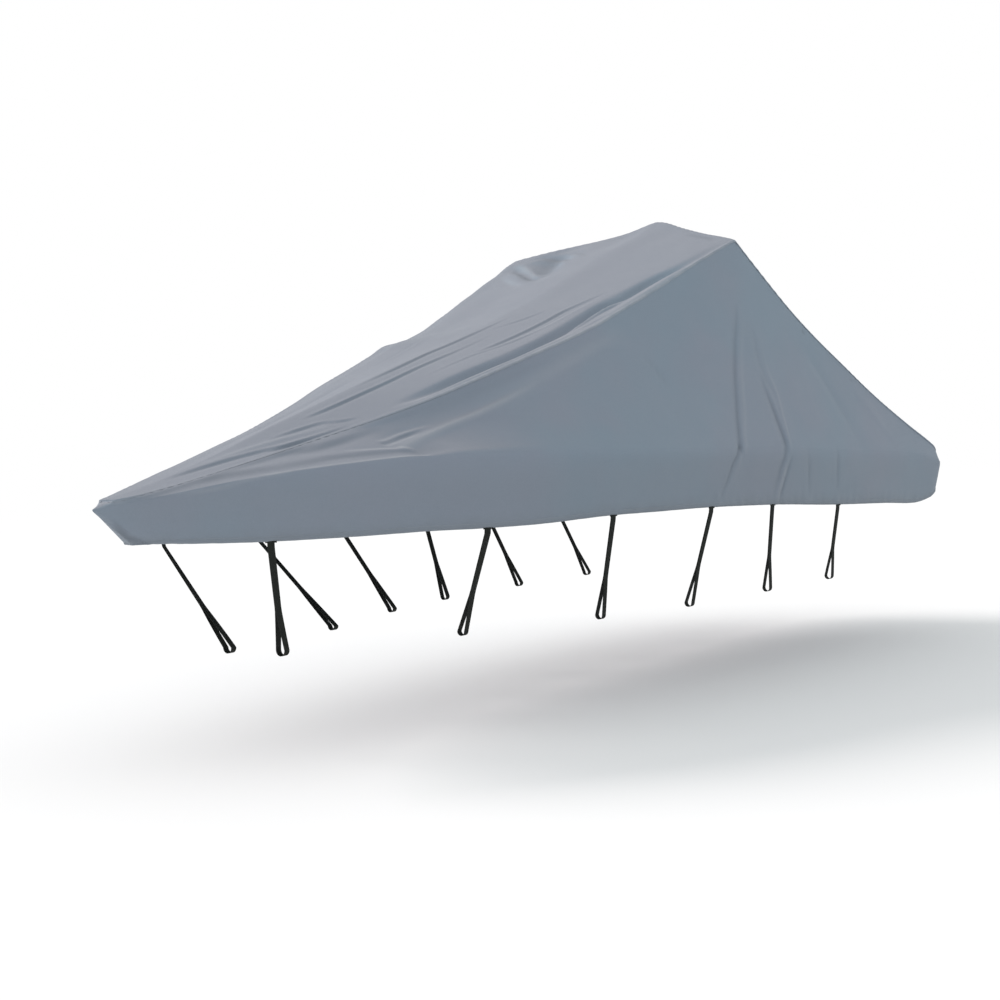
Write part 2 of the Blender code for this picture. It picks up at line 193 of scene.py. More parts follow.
# ---------------------------------------------------------------------------
# The cloth: woven marine polyester, blue-grey and matt, with sewn rows of pale
# thread beside the seams and hem, a painted highlight on its raised seams, painted
# shade and highlights on its folds, painted shade on its skirt, and a sun-faded top
# with a painted warm tint of the key light.
# ---------------------------------------------------------------------------
CLOTH_COLOR = (0.204, 0.246, 0.299, 1.0)
COOL_COLOR = (0.196, 0.249, 0.304, 1.0)
WARM_COLOR = (0.212, 0.244, 0.298, 1.0)
SUNNED_AND_LIT_COLOR = (0.210, 0.226, 0.266, 1.0)
PAINTED_HIGHLIGHT_COLOR = (0.325, 0.345, 0.378, 1.0)
SOILED_AND_SHADED_COLOR = (0.180, 0.205, 0.235, 1.0)
CREASE_SHADE_COLOR = (0.110, 0.132, 0.162, 1.0)
THREAD_COLOR = (0.29, 0.32, 0.36, 1.0)
CLOTH_ROUGHNESS = 0.78
YARN_PITCH = 0.0012
YARN_HEIGHT = 0.00012
CRUMPLE_HEIGHT = 0.0016
STITCH_PITCH = 0.0055
STITCH_SHARE = 0.68
STITCH_HALF = 0.0007
STITCH_HEIGHT = 0.0005
SEAM_STITCHES = (-0.0095, -0.0030)
HEM_STITCHES = (0.0270,)
NO_EDGE = 9.0
SUNNED_AND_LIT_FROM = (0.74, 0.95)
SUNNED_AND_LIT_STRENGTH = 0.9
CREST_HIGHLIGHT_STRENGTH = 0.55
SKIRT_SOIL = 0.6
SKIRT_SOIL_TO = 0.10
THREAD_STRENGTH = 0.8


def stitch_rows(distance, along, rows):
    """1 on the stitches of each row of thread that lies at a given distance from an edge."""
    dash = (along / STITCH_PITCH).fraction().smooth(STITCH_SHARE, STITCH_SHARE + 0.12, 1.0, 0.0)
    total = 0.0
    for row in rows:
        total = total + (distance - row).magnitude().smooth(STITCH_HALF * 0.5, STITCH_HALF * 1.5, 1.0, 0.0)
    return total * dash


def cloth_material(name):
    """Plain weave, hue patches, crumples, stitches, a sun-faded top with a painted warm tint, painted
    highlights on crests, painted shade and highlights on folds, dirt near the hem, and painted shade on the
    hem band and skirt.
    """
    material, start = new_material(name)
    place = start.node("ShaderNodeTexCoord", output="Object")
    cloth_map = start.node("ShaderNodeUVMap", {"uv_map": "cloth"})
    cloth_way = start.node("ShaderNodeSeparateXYZ", None, {0: cloth_map})
    along = Socket(start.tree, cloth_way.socket.node.outputs["X"])
    across = Socket(start.tree, cloth_way.socket.node.outputs["Y"])
    seam_gap = start.node("ShaderNodeAttribute", {"attribute_name": "from_seam"}, output="Fac")
    seam_way = start.node("ShaderNodeAttribute", {"attribute_name": "along_seam"}, output="Fac")
    hem_gap = start.node("ShaderNodeAttribute", {"attribute_name": "from_hem"}, output="Fac")
    crest = start.node("ShaderNodeAttribute", {"attribute_name": "crest"}, output="Fac")
    sunned_and_lit = start.node("ShaderNodeAttribute", {"attribute_name": "sunned_and_lit"}, output="Fac")
    crease = start.node("ShaderNodeAttribute", {"attribute_name": "crease"}, output="Fac")

    def noise(scale, detail, roughness=0.55):
        inputs = {"Vector": place, "Scale": scale, "Detail": detail, "Roughness": roughness}
        return start.node("ShaderNodeTexNoise", None, inputs)

    yarn = math.tau / YARN_PITCH
    weave = (along * yarn).sine() * (across * yarn).sine()
    stitches = stitch_rows(seam_gap, seam_way, SEAM_STITCHES) + stitch_rows(hem_gap, along, HEM_STITCHES)
    hue = noise(0.9, 3.0).smooth(0.38, 0.62)
    base = hue.blend(COOL_COLOR, WARM_COLOR)
    base = noise(2.3, 5.0).smooth(0.35, 0.65, 0.0, 0.5).blend(base, CLOTH_COLOR)
    # faces that look up: sun-faded, with a painted warm tint of the key light
    base = (sunned_and_lit * SUNNED_AND_LIT_STRENGTH).blend(base, SUNNED_AND_LIT_COLOR)
    # a painted highlight along the raised seams' crests, broken up by noise
    crest_highlight = crest.smooth(0.3, 1.0) * noise(14.0, 4.0).smooth(0.3, 0.7, 0.35, 1.0) * CREST_HIGHLIGHT_STRENGTH
    base = crest_highlight.blend(base, PAINTED_HIGHLIGHT_COLOR)
    soil = hem_gap.smooth(0.0, SKIRT_SOIL_TO, 1.0, 0.0) * noise(6.0, 5.0).smooth(0.35, 0.7, 0.25, 0.9)
    base = (soil * SKIRT_SOIL).blend(base, SOILED_AND_SHADED_COLOR)
    # painted shade on the hem band, within about 30 mm of the edge
    base = hem_gap.smooth(0.024, 0.034, 0.4, 0.0).blend(base, SOILED_AND_SHADED_COLOR)
    # painted shade on the skirt below the knuckle, darkest towards the hem
    base = hem_gap.smooth(0.22, 0.42, 0.25, 0.0).blend(base, SOILED_AND_SHADED_COLOR)
    # crease is painted shade where it is above 0 and a painted highlight where it is below 0
    base = crease.blend(base, CREASE_SHADE_COLOR)
    base = (crease * -1.0).blend(base, PAINTED_HIGHLIGHT_COLOR)
    base = (stitches * THREAD_STRENGTH).blend(base, THREAD_COLOR)
    fibre = noise(420.0, 2.0).smooth(0.3, 0.7, 0.94, 1.06)
    grey = start.node("ShaderNodeCombineColor", None, {0: fibre, 1: fibre, 2: fibre})
    base = start.node(
        "ShaderNodeMix", {"data_type": "RGBA", "blend_type": "MULTIPLY"}, {0: 1.0, 6: base, 7: grey}, 2,
    )
    crumple = noise(7.0, 4.0, 0.5) * CRUMPLE_HEIGHT + noise(26.0, 3.0, 0.5) * (CRUMPLE_HEIGHT * 0.22)
    height = weave * YARN_HEIGHT + stitches * STITCH_HEIGHT + crumple
    bumped = start.node("ShaderNodeBump", None, {"Strength": 1.0, "Distance": 1.0, "Height": height})
    shader = start.node("ShaderNodeBsdfPrincipled", None, {
        "Base Color": base,
        "Roughness": noise(3.0, 3.0).smooth(0.3, 0.7, CLOTH_ROUGHNESS - 0.05, CLOTH_ROUGHNESS + 0.06),
        "Normal": bumped,
        "Specular IOR Level": 0.28,
        "Sheen Weight": 0.12,
        "Sheen Roughness": 0.5,
    })
    start.node("ShaderNodeOutputMaterial", None, {"Surface": shader})
    return material


cloth = cloth_material("marine_cloth")

# ---------------------------------------------------------------------------
# The side panels: one length of cloth a side, from the hem over the knuckle to
# the ridge seam, pulled tight between them and creased where the ties draw it.
# ---------------------------------------------------------------------------
ORIGIN_AFT = 5.1400
ORIGIN_UP = 3.0292
SHEET_THICK = 0.0012

# "half" is a half width, and "lag" is how far aft of the section's own place a line lies
Station = namedtuple("Station", (
    "aft", "hem_lag", "hem_half", "hem_up", "knuckle_half", "knuckle_up",
    "ridge_lag", "ridge_half", "ridge_up", "crown_lag", "crown_up",
))
STATIONS = [Station(*row) for row in (
    (-0.012, 0.257, 0.000, 1.204, 0.000, 1.402, 0.097, 0.000, 1.438, 0.097, 1.438),
    (0.004, 0.256, 0.075, 1.206, 0.012, 1.403, 0.083, 0.030, 1.438, 0.083, 1.441),
    (0.120, 0.180, 0.115, 1.207, 0.088, 1.422, 0.000, 0.072, 1.450, 0.000, 1.454),
    (0.370, 0.090, 0.235, 1.196, 0.248, 1.465, 0.000, 0.145, 1.498, 0.000, 1.505),
    (0.770, 0.040, 0.415, 1.177, 0.460, 1.520, 0.000, 0.230, 1.586, 0.000, 1.612),
    (1.220, 0.010, 0.630, 1.168, 0.685, 1.557, 0.000, 0.310, 1.694, 0.000, 1.750),
    (1.560, 0.000, 0.775, 1.165, 0.835, 1.571, 0.000, 0.385, 1.768, 0.000, 1.852),
    (1.940, 0.000, 0.900, 1.152, 0.955, 1.565, 0.000, 0.490, 1.867, 0.000, 1.963),
    (2.340, 0.000, 1.000, 1.145, 1.050, 1.548, 0.000, 0.605, 1.990, 0.000, 2.080),
    (2.800, 0.000, 1.080, 1.150, 1.130, 1.522, 0.000, 0.690, 2.132, 0.000, 2.200),
    (3.310, 0.000, 1.130, 1.139, 1.180, 1.495, 0.000, 0.765, 2.283, 0.020, 2.360),
    (3.700, 0.000, 1.155, 1.130, 1.200, 1.475, 0.000, 0.800, 2.414, 0.060, 2.505),
    (4.300, 0.000, 1.175, 1.103, 1.220, 1.445, 0.000, 0.870, 2.673, 0.260, 2.810),
    (4.590, 0.000, 1.179, 1.087, 1.224, 1.430, 0.000, 0.895, 2.775, 0.420, 2.985),
    (4.680, 0.000, 1.180, 1.081, 1.225, 1.425, 0.000, 0.900, 2.802, 0.460, 3.030),
    (4.770, 0.000, 1.181, 1.075, 1.225, 1.420, 0.000, 0.912, 2.750, 0.460, 2.978),
    (5.320, 0.000, 1.180, 1.034, 1.225, 1.388, 0.000, 0.980, 2.322, 0.290, 2.565),
    (6.120, 0.000, 1.172, 0.988, 1.215, 1.350, 0.000, 1.070, 1.805, 0.100, 1.930),
    (6.620, 0.000, 1.160, 0.956, 1.205, 1.312, 0.000, 1.125, 1.527, 0.020, 1.582),
    (6.945, -0.020, 1.164, 0.996, 1.208, 1.236, 0.000, 1.168, 1.350, 0.000, 1.385),
    (7.035, -0.030, 1.120, 1.092, 1.142, 1.174, 0.000, 1.124, 1.292, 0.000, 1.325),
)]
NOSE_ROW = 1
PEAK_ROW = 14
STERN_ROW = len(STATIONS) - 1
KNUCKLE_ROUND = 0.10
RIDGE_ROUND = 0.034
SIDE_SAG = 0.033
SIDE_SAG_AT_BOW = 0.2
SIDE_SAG_FROM = (0.9, 2.0)

# the step between the grid's rows from each aft place on, finest at the hanging folds
SIDE_ROW_STEPS = ((0.00, 0.018), (1.70, 0.030), (3.85, 0.0085), (4.85, 0.016), (5.70, 0.024))
NOSE_STEPS = 8
SKIRT_STEPS = 26
SKIRT_CROWDING = 1.6
SIDE_STEPS = 80
SEAM_FIRST_STEP = 0.0018
SEAM_STEP_GROWTH = 1.5
SEAM_STEPS = 8
FINE_ROWS = 3000

# "across" is the height up on a side panel and the half width, port positive, on the top;
# a path's points are (aft, across, height), with a height above 0 for a ridge; reach is
# the half width on the side of the path with more across (or more aft, for a path that
# runs across), under on the other side; crisp is 0 for a soft fold and 1 for a crease;
# lean is 0 for a ridge or trough, 1 for a step up towards more across (or more aft) and
# -1 for a step down; the number before the path is painted shade on the fold above 0,
# and a painted highlight below 0
Fold = namedtuple("Fold", ("reach", "under", "crisp", "lean", "soil", "path"))
PORT_FOLDS = [Fold(*row) for row in (
    # the long ridge from the knuckle up to the seam, crisp at first and then a broad soft back
    (0.018, 0.016, 0.3, 0, -0.42, (
        (1.53, 1.615, 0.008), (1.85, 1.690, 0.012), (2.16, 1.768, 0.012), (2.40, 1.840, 0.009),
        (2.66, 1.930, 0.0))),
    (0.058, 0.048, 0.0, 0, -0.18, (
        (2.10, 1.755, 0.0), (2.40, 1.842, 0.010), (2.66, 1.940, 0.020), (2.97, 2.044, 0.024),
        (3.25, 2.142, 0.017), (3.48, 2.210, 0.0))),
    (0.090, 0.070, 0.0, 0, 0.10, (
        (1.60, 1.690, -0.008), (2.16, 1.870, -0.014), (2.60, 2.010, -0.010), (2.95, 2.120, 0.0))),
    # the fan of short creases where that ridge leaves the knuckle
    (0.012, 0.010, 0.0, 1, -0.35, ((1.52, 1.656, -0.0045), (1.73, 1.705, -0.0050), (1.88, 1.732, 0.0))),
    (0.011, 0.010, 0.0, 1, -0.30, ((1.50, 1.632, -0.0036), (1.68, 1.668, -0.0034), (1.76, 1.688, 0.0))),
    (0.011, 0.010, 0.0, 1, 0.35, ((1.50, 1.644, 0.0034), (1.70, 1.688, 0.0036), (1.82, 1.716, 0.0))),
    # streaks fore of it, along the bow
    (0.018, 0.016, 0.0, 1, 0.38, (
        (0.94, 1.612, 0.0), (1.16, 1.634, 0.0060), (1.30, 1.660, 0.0075), (1.48, 1.697, 0.0045),
        (1.64, 1.735, 0.0))),
    (0.020, 0.018, 0.0, 1, 0.42, (
        (0.48, 1.498, 0.0), (0.68, 1.558, 0.0062), (0.82, 1.590, 0.0080), (1.11, 1.645, 0.0058),
        (1.24, 1.668, 0.0))),
    (0.016, 0.016, 0.0, 1, 0.42, (
        (0.10, 1.436, 0.0), (0.21, 1.450, 0.0040), (0.37, 1.484, 0.0052), (0.53, 1.514, 0.0060),
        (0.68, 1.535, 0.0060), (0.89, 1.556, 0.0030), (1.00, 1.564, 0.0))),
    (0.015, 0.014, 0.0, 1, 0.34, (
        (0.88, 1.560, 0.0), (1.00, 1.570, 0.0046), (1.17, 1.589, 0.0056), (1.36, 1.597, 0.0054),
        (1.53, 1.603, 0.0044), (1.60, 1.604, 0.0))),
    (0.011, 0.010, 0.0, 1, -0.40, (
        (0.78, 1.524, -0.0020), (1.12, 1.554, -0.0040), (1.54, 1.574, -0.0060), (1.62, 1.575, 0.0))),
    (0.012, 0.010, 0.0, 1, -0.40, ((1.28, 1.616, -0.0015), (1.54, 1.613, -0.0060), (1.60, 1.613, 0.0))),
    (0.014, 0.012, 0.0, 1, -0.30, (
        (0.28, 1.447, 0.0), (0.49, 1.468, -0.0040), (0.80, 1.520, -0.0030), (0.90, 1.53, 0.0))),
    # the pinch at the bend of the knuckle: the streaks all start there
    (0.030, 0.024, 0.0, 0, 0.15, ((1.50, 1.590, -0.003), (1.60, 1.592, -0.011), (1.78, 1.602, 0.0))),
    # the crease across the nose's facet
    (0.013, 0.017, 0.2, 0, 0.75, (
        (0.08, 1.350, 0.0), (0.13, 1.300, -0.005), (0.18, 1.255, -0.007), (0.27, 1.205, -0.005))),
    # the hanging folds under the peak, and the ones aft of them
    (0.012, 0.046, 0.1, 0, 0.34, (
        (4.60, 2.400, 0.0), (4.57, 2.330, -0.004), (4.49, 2.149, -0.008), (4.40, 1.955, -0.010),
        (4.31, 1.765, -0.011), (4.22, 1.605, -0.012), (4.15, 1.476, -0.012))),
    (0.014, 0.026, 0.3, 0, 0.46, (
        (4.15, 1.480, -0.010), (4.11, 1.437, -0.011), (4.05, 1.370, -0.009), (4.00, 1.270, -0.007),
        (3.95, 1.190, -0.003), (3.93, 1.150, 0.0))),
    (0.024, 0.022, 0.0, 0, -0.16, (
        (4.64, 2.330, 0.0), (4.50, 2.050, 0.003), (4.35, 1.720, 0.004), (4.20, 1.480, 0.004),
        (4.12, 1.400, 0.003),
        (4.06, 1.25, 0.0))),
    (0.024, 0.044, 0.0, 0, 0.10, (
        (4.70, 2.300, 0.0), (4.71, 2.160, -0.003), (4.70, 2.050, -0.004), (4.72, 1.900, -0.004),
        (4.77, 1.79, -0.002),
        (4.79, 1.74, 0.0))),
    (0.014, 0.052, 0.1, 0, 0.38, (
        (4.66, 1.960, 0.0), (4.69, 1.800, -0.009), (4.71, 1.640, -0.013), (4.715, 1.500, -0.014),
        (4.68, 1.410, -0.012), (4.61, 1.280, -0.008), (4.56, 1.160, -0.003), (4.54, 1.110, 0.0))),
    (0.020, 0.018, 0.0, 0, -0.22, (
        (4.77, 2.120, 0.0), (4.77, 1.950, 0.002), (4.80, 1.800, 0.004), (4.77, 1.600, 0.005),
        (4.755, 1.500, 0.004), (4.74, 1.420, 0.0))),
    (0.018, 0.016, 0.0, 0, -0.30, (
        (4.69, 1.370, 0.0), (4.65, 1.280, 0.006), (4.61, 1.180, 0.004), (4.59, 1.110, 0.0))),
    (0.014, 0.020, 0.2, 0, 0.40, (
        (4.76, 1.400, 0.0), (4.72, 1.320, -0.006), (4.67, 1.200, -0.007), (4.63, 1.110, -0.002))),
    (0.030, 0.024, 0.2, 0, 0.12, ((3.56, 2.085, -0.001), (3.64, 1.954, -0.006), (3.68, 1.860, -0.001))),
    (0.020, 0.030, 0.1, 0, 0.22, ((4.96, 1.410, -0.001), (4.99, 1.280, -0.006), (5.00, 1.160, -0.003))),
    (0.020, 0.030, 0.1, 0, 0.26, ((5.37, 1.405, -0.001), (5.38, 1.280, -0.006), (5.39, 1.150, -0.003))),
    (0.060, 0.050, 0.1, 0, 0.05, ((5.30, 2.150, 0.0), (5.56, 1.800, -0.008), (5.75, 1.450, -0.003))),
    (0.060, 0.050, 0.1, 0, 0.00, ((5.80, 1.850, 0.0), (6.08, 1.650, 0.006), (6.30, 1.420, 0.002))),
    # small puckers under the seam, aft of the peak
    (0.014, 0.014, 0.0, 0, 0.45, ((5.34, 2.212, 0.0), (5.365, 2.200, -0.003), (5.39, 2.188, 0.0))),
    (0.012, 0.012, 0.0, 0, 0.45, ((5.88, 1.874, 0.0), (5.90, 1.865, -0.003), (5.92, 1.856, 0.0))),
)]
STARBOARD_FOLDS = [Fold(*row) for row in (
    (0.060, 0.035, 0.3, 0, -0.10, (
        (1.60, 1.635, 0.012), (2.00, 1.740, 0.015), (2.60, 1.930, 0.014), (3.20, 2.110, 0.004))),
    (0.080, 0.070, 0.0, 0, 0.00, ((1.70, 1.710, -0.006), (2.30, 1.890, -0.011), (3.00, 2.110, 0.0))),
    (0.014, 0.014, 0.0, 1, 0.15, ((0.90, 1.600, 0.001), (1.20, 1.640, 0.004), (1.60, 1.720, 0.0))),
    (0.012, 0.012, 0.0, 1, 0.18, ((0.30, 1.470, 0.001), (0.70, 1.540, 0.003), (1.10, 1.570, 0.001))),
    (0.012, 0.012, 0.0, 1, -0.10, ((1.00, 1.548, -0.001), (1.30, 1.568, -0.003), (1.58, 1.578, 0.0))),
    (0.030, 0.028, 0.2, 0, 0.25, (
        (3.60, 2.150, 0.0), (3.30, 1.700, -0.009), (2.98, 1.260, -0.007), (2.93, 1.17, 0.0))),
    (0.018, 0.024, 0.2, 0, 0.35, (
        (4.56, 2.300, -0.002), (4.52, 1.900, -0.009), (4.50, 1.500, -0.012), (4.44, 1.250, -0.008),
        (4.40, 1.120, -0.002))),
    (0.020, 0.020, 0.0, 0, -0.18, (
        (4.60, 2.000, 0.0), (4.58, 1.600, 0.007), (4.50, 1.300, 0.005), (4.46, 1.15, 0.0))),
    (0.022, 0.026, 0.2, 0, 0.28, (
        (5.06, 2.150, 0.0), (5.22, 1.700, -0.009), (5.34, 1.420, -0.011), (5.36, 1.200, -0.004),
        (5.36, 1.100, 0.0))),
    (0.018, 0.020, 0.2, 0, 0.20, ((3.90, 1.420, 0.0), (3.86, 1.300, -0.006), (3.85, 1.180, -0.002))),
    (0.060, 0.050, 0.1, 0, 0.00, ((5.75, 1.850, 0.0), (6.00, 1.620, 0.006), (6.25, 1.400, 0.002))),
)]
# how far each ridge seam stands over (or under) its even line: (aft, rise)
PORT_RIDGE = (
    (0.10, 0.0), (0.37, -0.006), (0.77, -0.010), (1.22, -0.020), (1.60, -0.016), (2.00, -0.016),
    (2.40, -0.013),
    (2.90, -0.016), (3.25, -0.010), (3.50, 0.004), (3.72, 0.010), (4.00, 0.003), (4.30, 0.0), (4.66, 0.004),
    (4.82, -0.018), (5.20, -0.023), (5.50, -0.020), (5.90, -0.009), (6.20, -0.010), (6.50, -0.006),
    (6.80, 0.0),
)
STARBOARD_RIDGE = (
    (1.30, 0.0), (1.68, 0.012), (2.10, 0.009), (2.60, 0.002), (2.88, 0.008), (3.02, 0.022), (3.16, 0.004),
    (3.30, -0.015), (3.46, -0.018), (3.72, -0.002), (3.95, -0.003), (4.15, -0.012), (4.40, -0.009),
    (4.62, 0.016),
    (4.76, 0.014), (5.00, 0.0),
)
FOLD_FADE = 0.06
SEAM_FADE = 0.018

SLACK_SEED = 11
SLACK_WAVES = 26
SLACK_HEIGHT = 0.0034
SLACK_SHORTEST = 0.16
SLACK_LONGEST = 0.85
SLACK_STRETCH = 2.4

SEAM_RISE = 0.0050
SEAM_REACH = 0.014
SEAM_SHOWS_AFT = (1.45, 2.20)
SEAM_AT_BOW = 0.06
LAP_WIDTH = 0.012
LAP_STAND = 0.0022
LAP_SETTLES = 0.035
# painted light on the lap along the bow, over the shade of the gap under it
LAP_PAINTED_LIGHT = 0.30
CREST_REACH = 0.012
PUCKER_HEIGHT = 0.0011
PUCKER_PITCH = 0.061
PUCKER_REACH = 0.030
HEM_CORD_RISE = 0.0042
HEM_CORD_AT = 0.013
HEM_CORD_REACH = 0.008
HEM_GROOVE = 0.0018
HEM_GROOVE_AT = 0.027
HEM_GROOVE_REACH = 0.004
HEM_CURL = 0.005
HEM_CURL_REACH = 0.006
HEM_DRAW = 0.0028
HEM_DRAW_REACH = 0.085
HEM_DRAW_PITCHES = (0.137, 0.089, 0.211)


def smooth_through(values, at):
    """Curve through values at 0, 1, 2...: a cubic per run, with no overshoot.

    The slope at a knot is the harmonic mean of the two runs beside it, or zero
    where they change sign; an end takes its own run's slope.
    """
    runs = np.diff(values)
    slopes = np.empty(len(values))
    slopes[0] = runs[0]
    slopes[-1] = runs[-1]
    before = runs[:-1]
    after = runs[1:]
    same = before * after > 0
    total = np.where(same, before + after, 1.0)
    slopes[1:-1] = np.where(same, 2 * before * after / total, 0.0)
    knot = np.clip(np.floor(at).astype(int), 0, len(runs) - 1)
    s = at - knot
    low = values[knot]
    high = values[knot + 1]
    return (
        low * (2 * s**3 - 3 * s**2 + 1) + high * (3 * s**2 - 2 * s**3)
        + slopes[knot] * (s**3 - 2 * s**2 + s) + slopes[knot + 1] * (s**3 - s**2)
    )


def station_value(column, rows):
    """One column of STATIONS at fractional rows, with a sharp edge at NOSE_ROW."""
    values = np.array([getattr(station, column) for station in STATIONS])
    straight = np.interp(rows, (0, NOSE_ROW), values[:NOSE_ROW + 1])
    return np.where(rows <= NOSE_ROW, straight, smooth_through(values[NOSE_ROW:], rows - NOSE_ROW))


def line(rows, lag, half, up):
    """A lengthwise line of the cover on the port side: points, one per row."""
    aft = station_value("aft", rows)
    if lag:
        aft = aft + station_value(lag, rows)
    width = station_value(half, rows) if half else np.zeros(len(rows))
    return np.stack([ORIGIN_AFT - aft, width, station_value(up, rows) - ORIGIN_UP], axis=-1)


def eased_ramp(t, corner, reach):
    """0 below the corner and t - corner above it, joined by a parabola."""
    past = t - corner
    bend = (past + reach)**2 / (4 * reach)
    return np.where(past < -reach, 0.0, np.where(past > reach, past, bend))


def ridge_line(rows, rises):
    """The ridge seam, lifted by its side's table: points on the port side."""
    points = line(rows, "ridge_lag", "ridge_half", "ridge_up")
    places, lifts = np.array(rises).T
    at = np.interp(ORIGIN_AFT - points[:, 0], places, np.arange(len(places)))
    points[:, 2] += smooth_through(lifts, at)
    return points


def section(rows, t, rises):
    """Points of the port half: t runs 0 hem, 1 knuckle, 2 ridge seam, 3 crown.

    t is one list for all rows, or a list for each row.
    """
    hem = line(rows, "hem_lag", "hem_half", "hem_up")
    knuckle = line(rows, None, "knuckle_half", "knuckle_up")
    ridge = ridge_line(rows, rises)
    crown = line(rows, "crown_lag", None, "crown_up")
    skirt = (knuckle - hem)[:, None, :]
    side = (ridge - knuckle)[:, None, :]
    over = (crown - ridge)[:, None, :]
    t = np.atleast_2d(t)[..., None]
    return (
        hem[:, None, :] + skirt * t
        + (side - skirt) * eased_ramp(t, 1.0, KNUCKLE_ROUND)
        + (over - side) * eased_ramp(t, 2.0, RIDGE_ROUND)
    )


def unit(vectors):
    return vectors / np.linalg.norm(vectors, axis=-1, keepdims=True)


def rise_between(values, low, high):
    """0 up to low, 1 from high on, with a smooth step between."""
    s = np.clip((values - low) / (high - low), 0, 1)
    return s * s * (3 - 2 * s)


def bell(distance, reach):
    return np.exp(-(distance / reach)**2)


def side_reach(rows, rises):
    """From knuckle to ridge seam, as a vector for each row."""
    return ridge_line(rows, rises) - line(rows, None, "knuckle_half", "knuckle_up")


def side_surface(rows, t, rises):
    """A side, on port: the section, drawn inwards above the knuckle by a parabola of t.

    The bow's side is drawn in by SIDE_SAG_AT_BOW of that, and more over SIDE_SAG_FROM.
    """
    points = section(rows, t, rises)
    span = side_reach(rows, rises)
    outward = unit(np.cross(span, (1.0, 0.0, 0.0)))
    s = np.clip(np.atleast_2d(t) - 1.0, 0, 1)
    drawn = rise_between(station_value("aft", rows), *SIDE_SAG_FROM)
    drawn = SIDE_SAG * (SIDE_SAG_AT_BOW + (1 - SIDE_SAG_AT_BOW) * drawn)
    sag = (drawn * np.linalg.norm(span, axis=-1))[:, None] * 4 * s * (1 - s)
    return points - outward[:, None, :] * sag[..., None]


def normals(points):
    """Unit outward normals of a grid of points, from the cross of its two directions."""
    return unit(np.cross(np.gradient(points, axis=0), np.gradient(points, axis=1)))


def facing_up(points):
    """How much the cloth is sun-faded and warmed by a painted tint of the key light: 0 on steep faces, 1 on
    flat ones.
    """
    return rise_between(normals(points)[..., 2], *SUNNED_AND_LIT_FROM)


def mirrored(points):
    """The same points on the starboard side."""
    return points * (1, -1, 1)


def rows_apart(first, last, row_steps):
    """Fractional rows from one station to another, as far apart as a table of steps says."""
    fine = np.linspace(first, last, FINE_ROWS)
    aft = station_value("aft", fine)
    starts, gaps = np.array(row_steps).T
    step = gaps[np.searchsorted(starts, aft, "right") - 1]
    count = np.concatenate([[0.0], np.cumsum(np.diff(aft) / step[:-1])])
    return np.interp(np.linspace(0, count[-1], round(count[-1]) + 1), count, fine)


def walked(points, axis):
    """Distance walked over a grid from its first row or column, at each point."""
    steps = np.linalg.norm(np.diff(points, axis=axis), axis=-1)
    total = np.cumsum(steps, axis=axis)
    return np.concatenate([np.zeros_like(np.take(total, [0], axis=axis)), total], axis=axis)


def edge_fade(points, beside=FOLD_FADE):
    """0 on a grid's four edges, rising smoothly to 1 at FOLD_FADE from its ends and beside from its sides."""
    fade = np.ones(points.shape[:2])
    for axis, reach in ((0, FOLD_FADE), (1, beside)):
        near = walked(points, axis)
        far = np.take(near, [-1], axis=axis) - near
        fade = fade * rise_between(np.minimum(near, far), 0, reach)
    return fade


def fold_fields(along, across, folds):
    """Height and painted shade of the folds over a grid, the shade below 0 for a painted highlight: each fold
    is a profile across its path.

    The path's place and height are smooth curves through its points, and past an end
    the distance is to that end. The profile is a bell, or a sharper crest, or where
    the fold leans a step: up towards more across with lean 1, and down with lean -1.
    """
    height = np.zeros(along.shape)
    soil = np.zeros(along.shape)
    for fold in folds:
        path = np.array(fold.path)
        lengthwise = np.ptp(path[:, 0]) > np.ptp(path[:, 1])
        run, off = (0, 1) if lengthwise else (1, 0)
        main, other = (along, across) if lengthwise else (across, along)
        path = path[np.argsort(path[:, run])]
        at = np.interp(main, path[:, run], np.arange(len(path)))
        steep = (path[-1, off] - path[0, off]) / (path[-1, run] - path[0, run])
        gap = (other - smooth_through(path[:, off], at)) / math.hypot(1, steep)
        gap = gap / np.where(gap > 0, fold.reach, fold.under)
        past = (main - np.clip(main, path[0, run], path[-1, run])) / max(fold.reach, fold.under)
        away = np.hypot(gap, past)
        soft = np.exp(-away**2)
        sharp = np.exp(-1.6 * (np.sqrt(away**2 + 0.04) - 0.2))
        step = 1.3 * gap * soft * fold.lean
        shape = soft + (sharp - soft) * fold.crisp
        tall = smooth_through(path[:, 2], at)
        height += tall * (shape + (step - shape) * abs(fold.lean))
        # painted shade along the fold; a number below 0 paints a highlight instead
        soil += fold.soil * np.abs(tall) / np.abs(path[:, 2]).max() * np.exp(-2 * away**2)
    return height, soil


def slack_height(along, across, seed):
    """Low uneven swells: cosines of random way, length and phase, longest fore and aft."""
    random = np.random.default_rng(seed)
    total = np.zeros(along.shape)
    for _ in range(SLACK_WAVES):
        size = SLACK_SHORTEST * (SLACK_LONGEST / SLACK_SHORTEST)**random.random()
        way = random.uniform(0, math.pi)
        phase = random.uniform(0, math.tau)
        turned = along / SLACK_STRETCH * math.cos(way) + across * math.sin(way)
        total += size / SLACK_LONGEST * np.cos(math.tau * turned / size + phase)
    return total * SLACK_HEIGHT / math.sqrt(SLACK_WAVES)


def seam_shown(aft):
    """How much the ridge seam stands out: it lies nearly flat along the bow."""
    return SEAM_AT_BOW + (1 - SEAM_AT_BOW) * rise_between(aft, *SEAM_SHOWS_AFT)


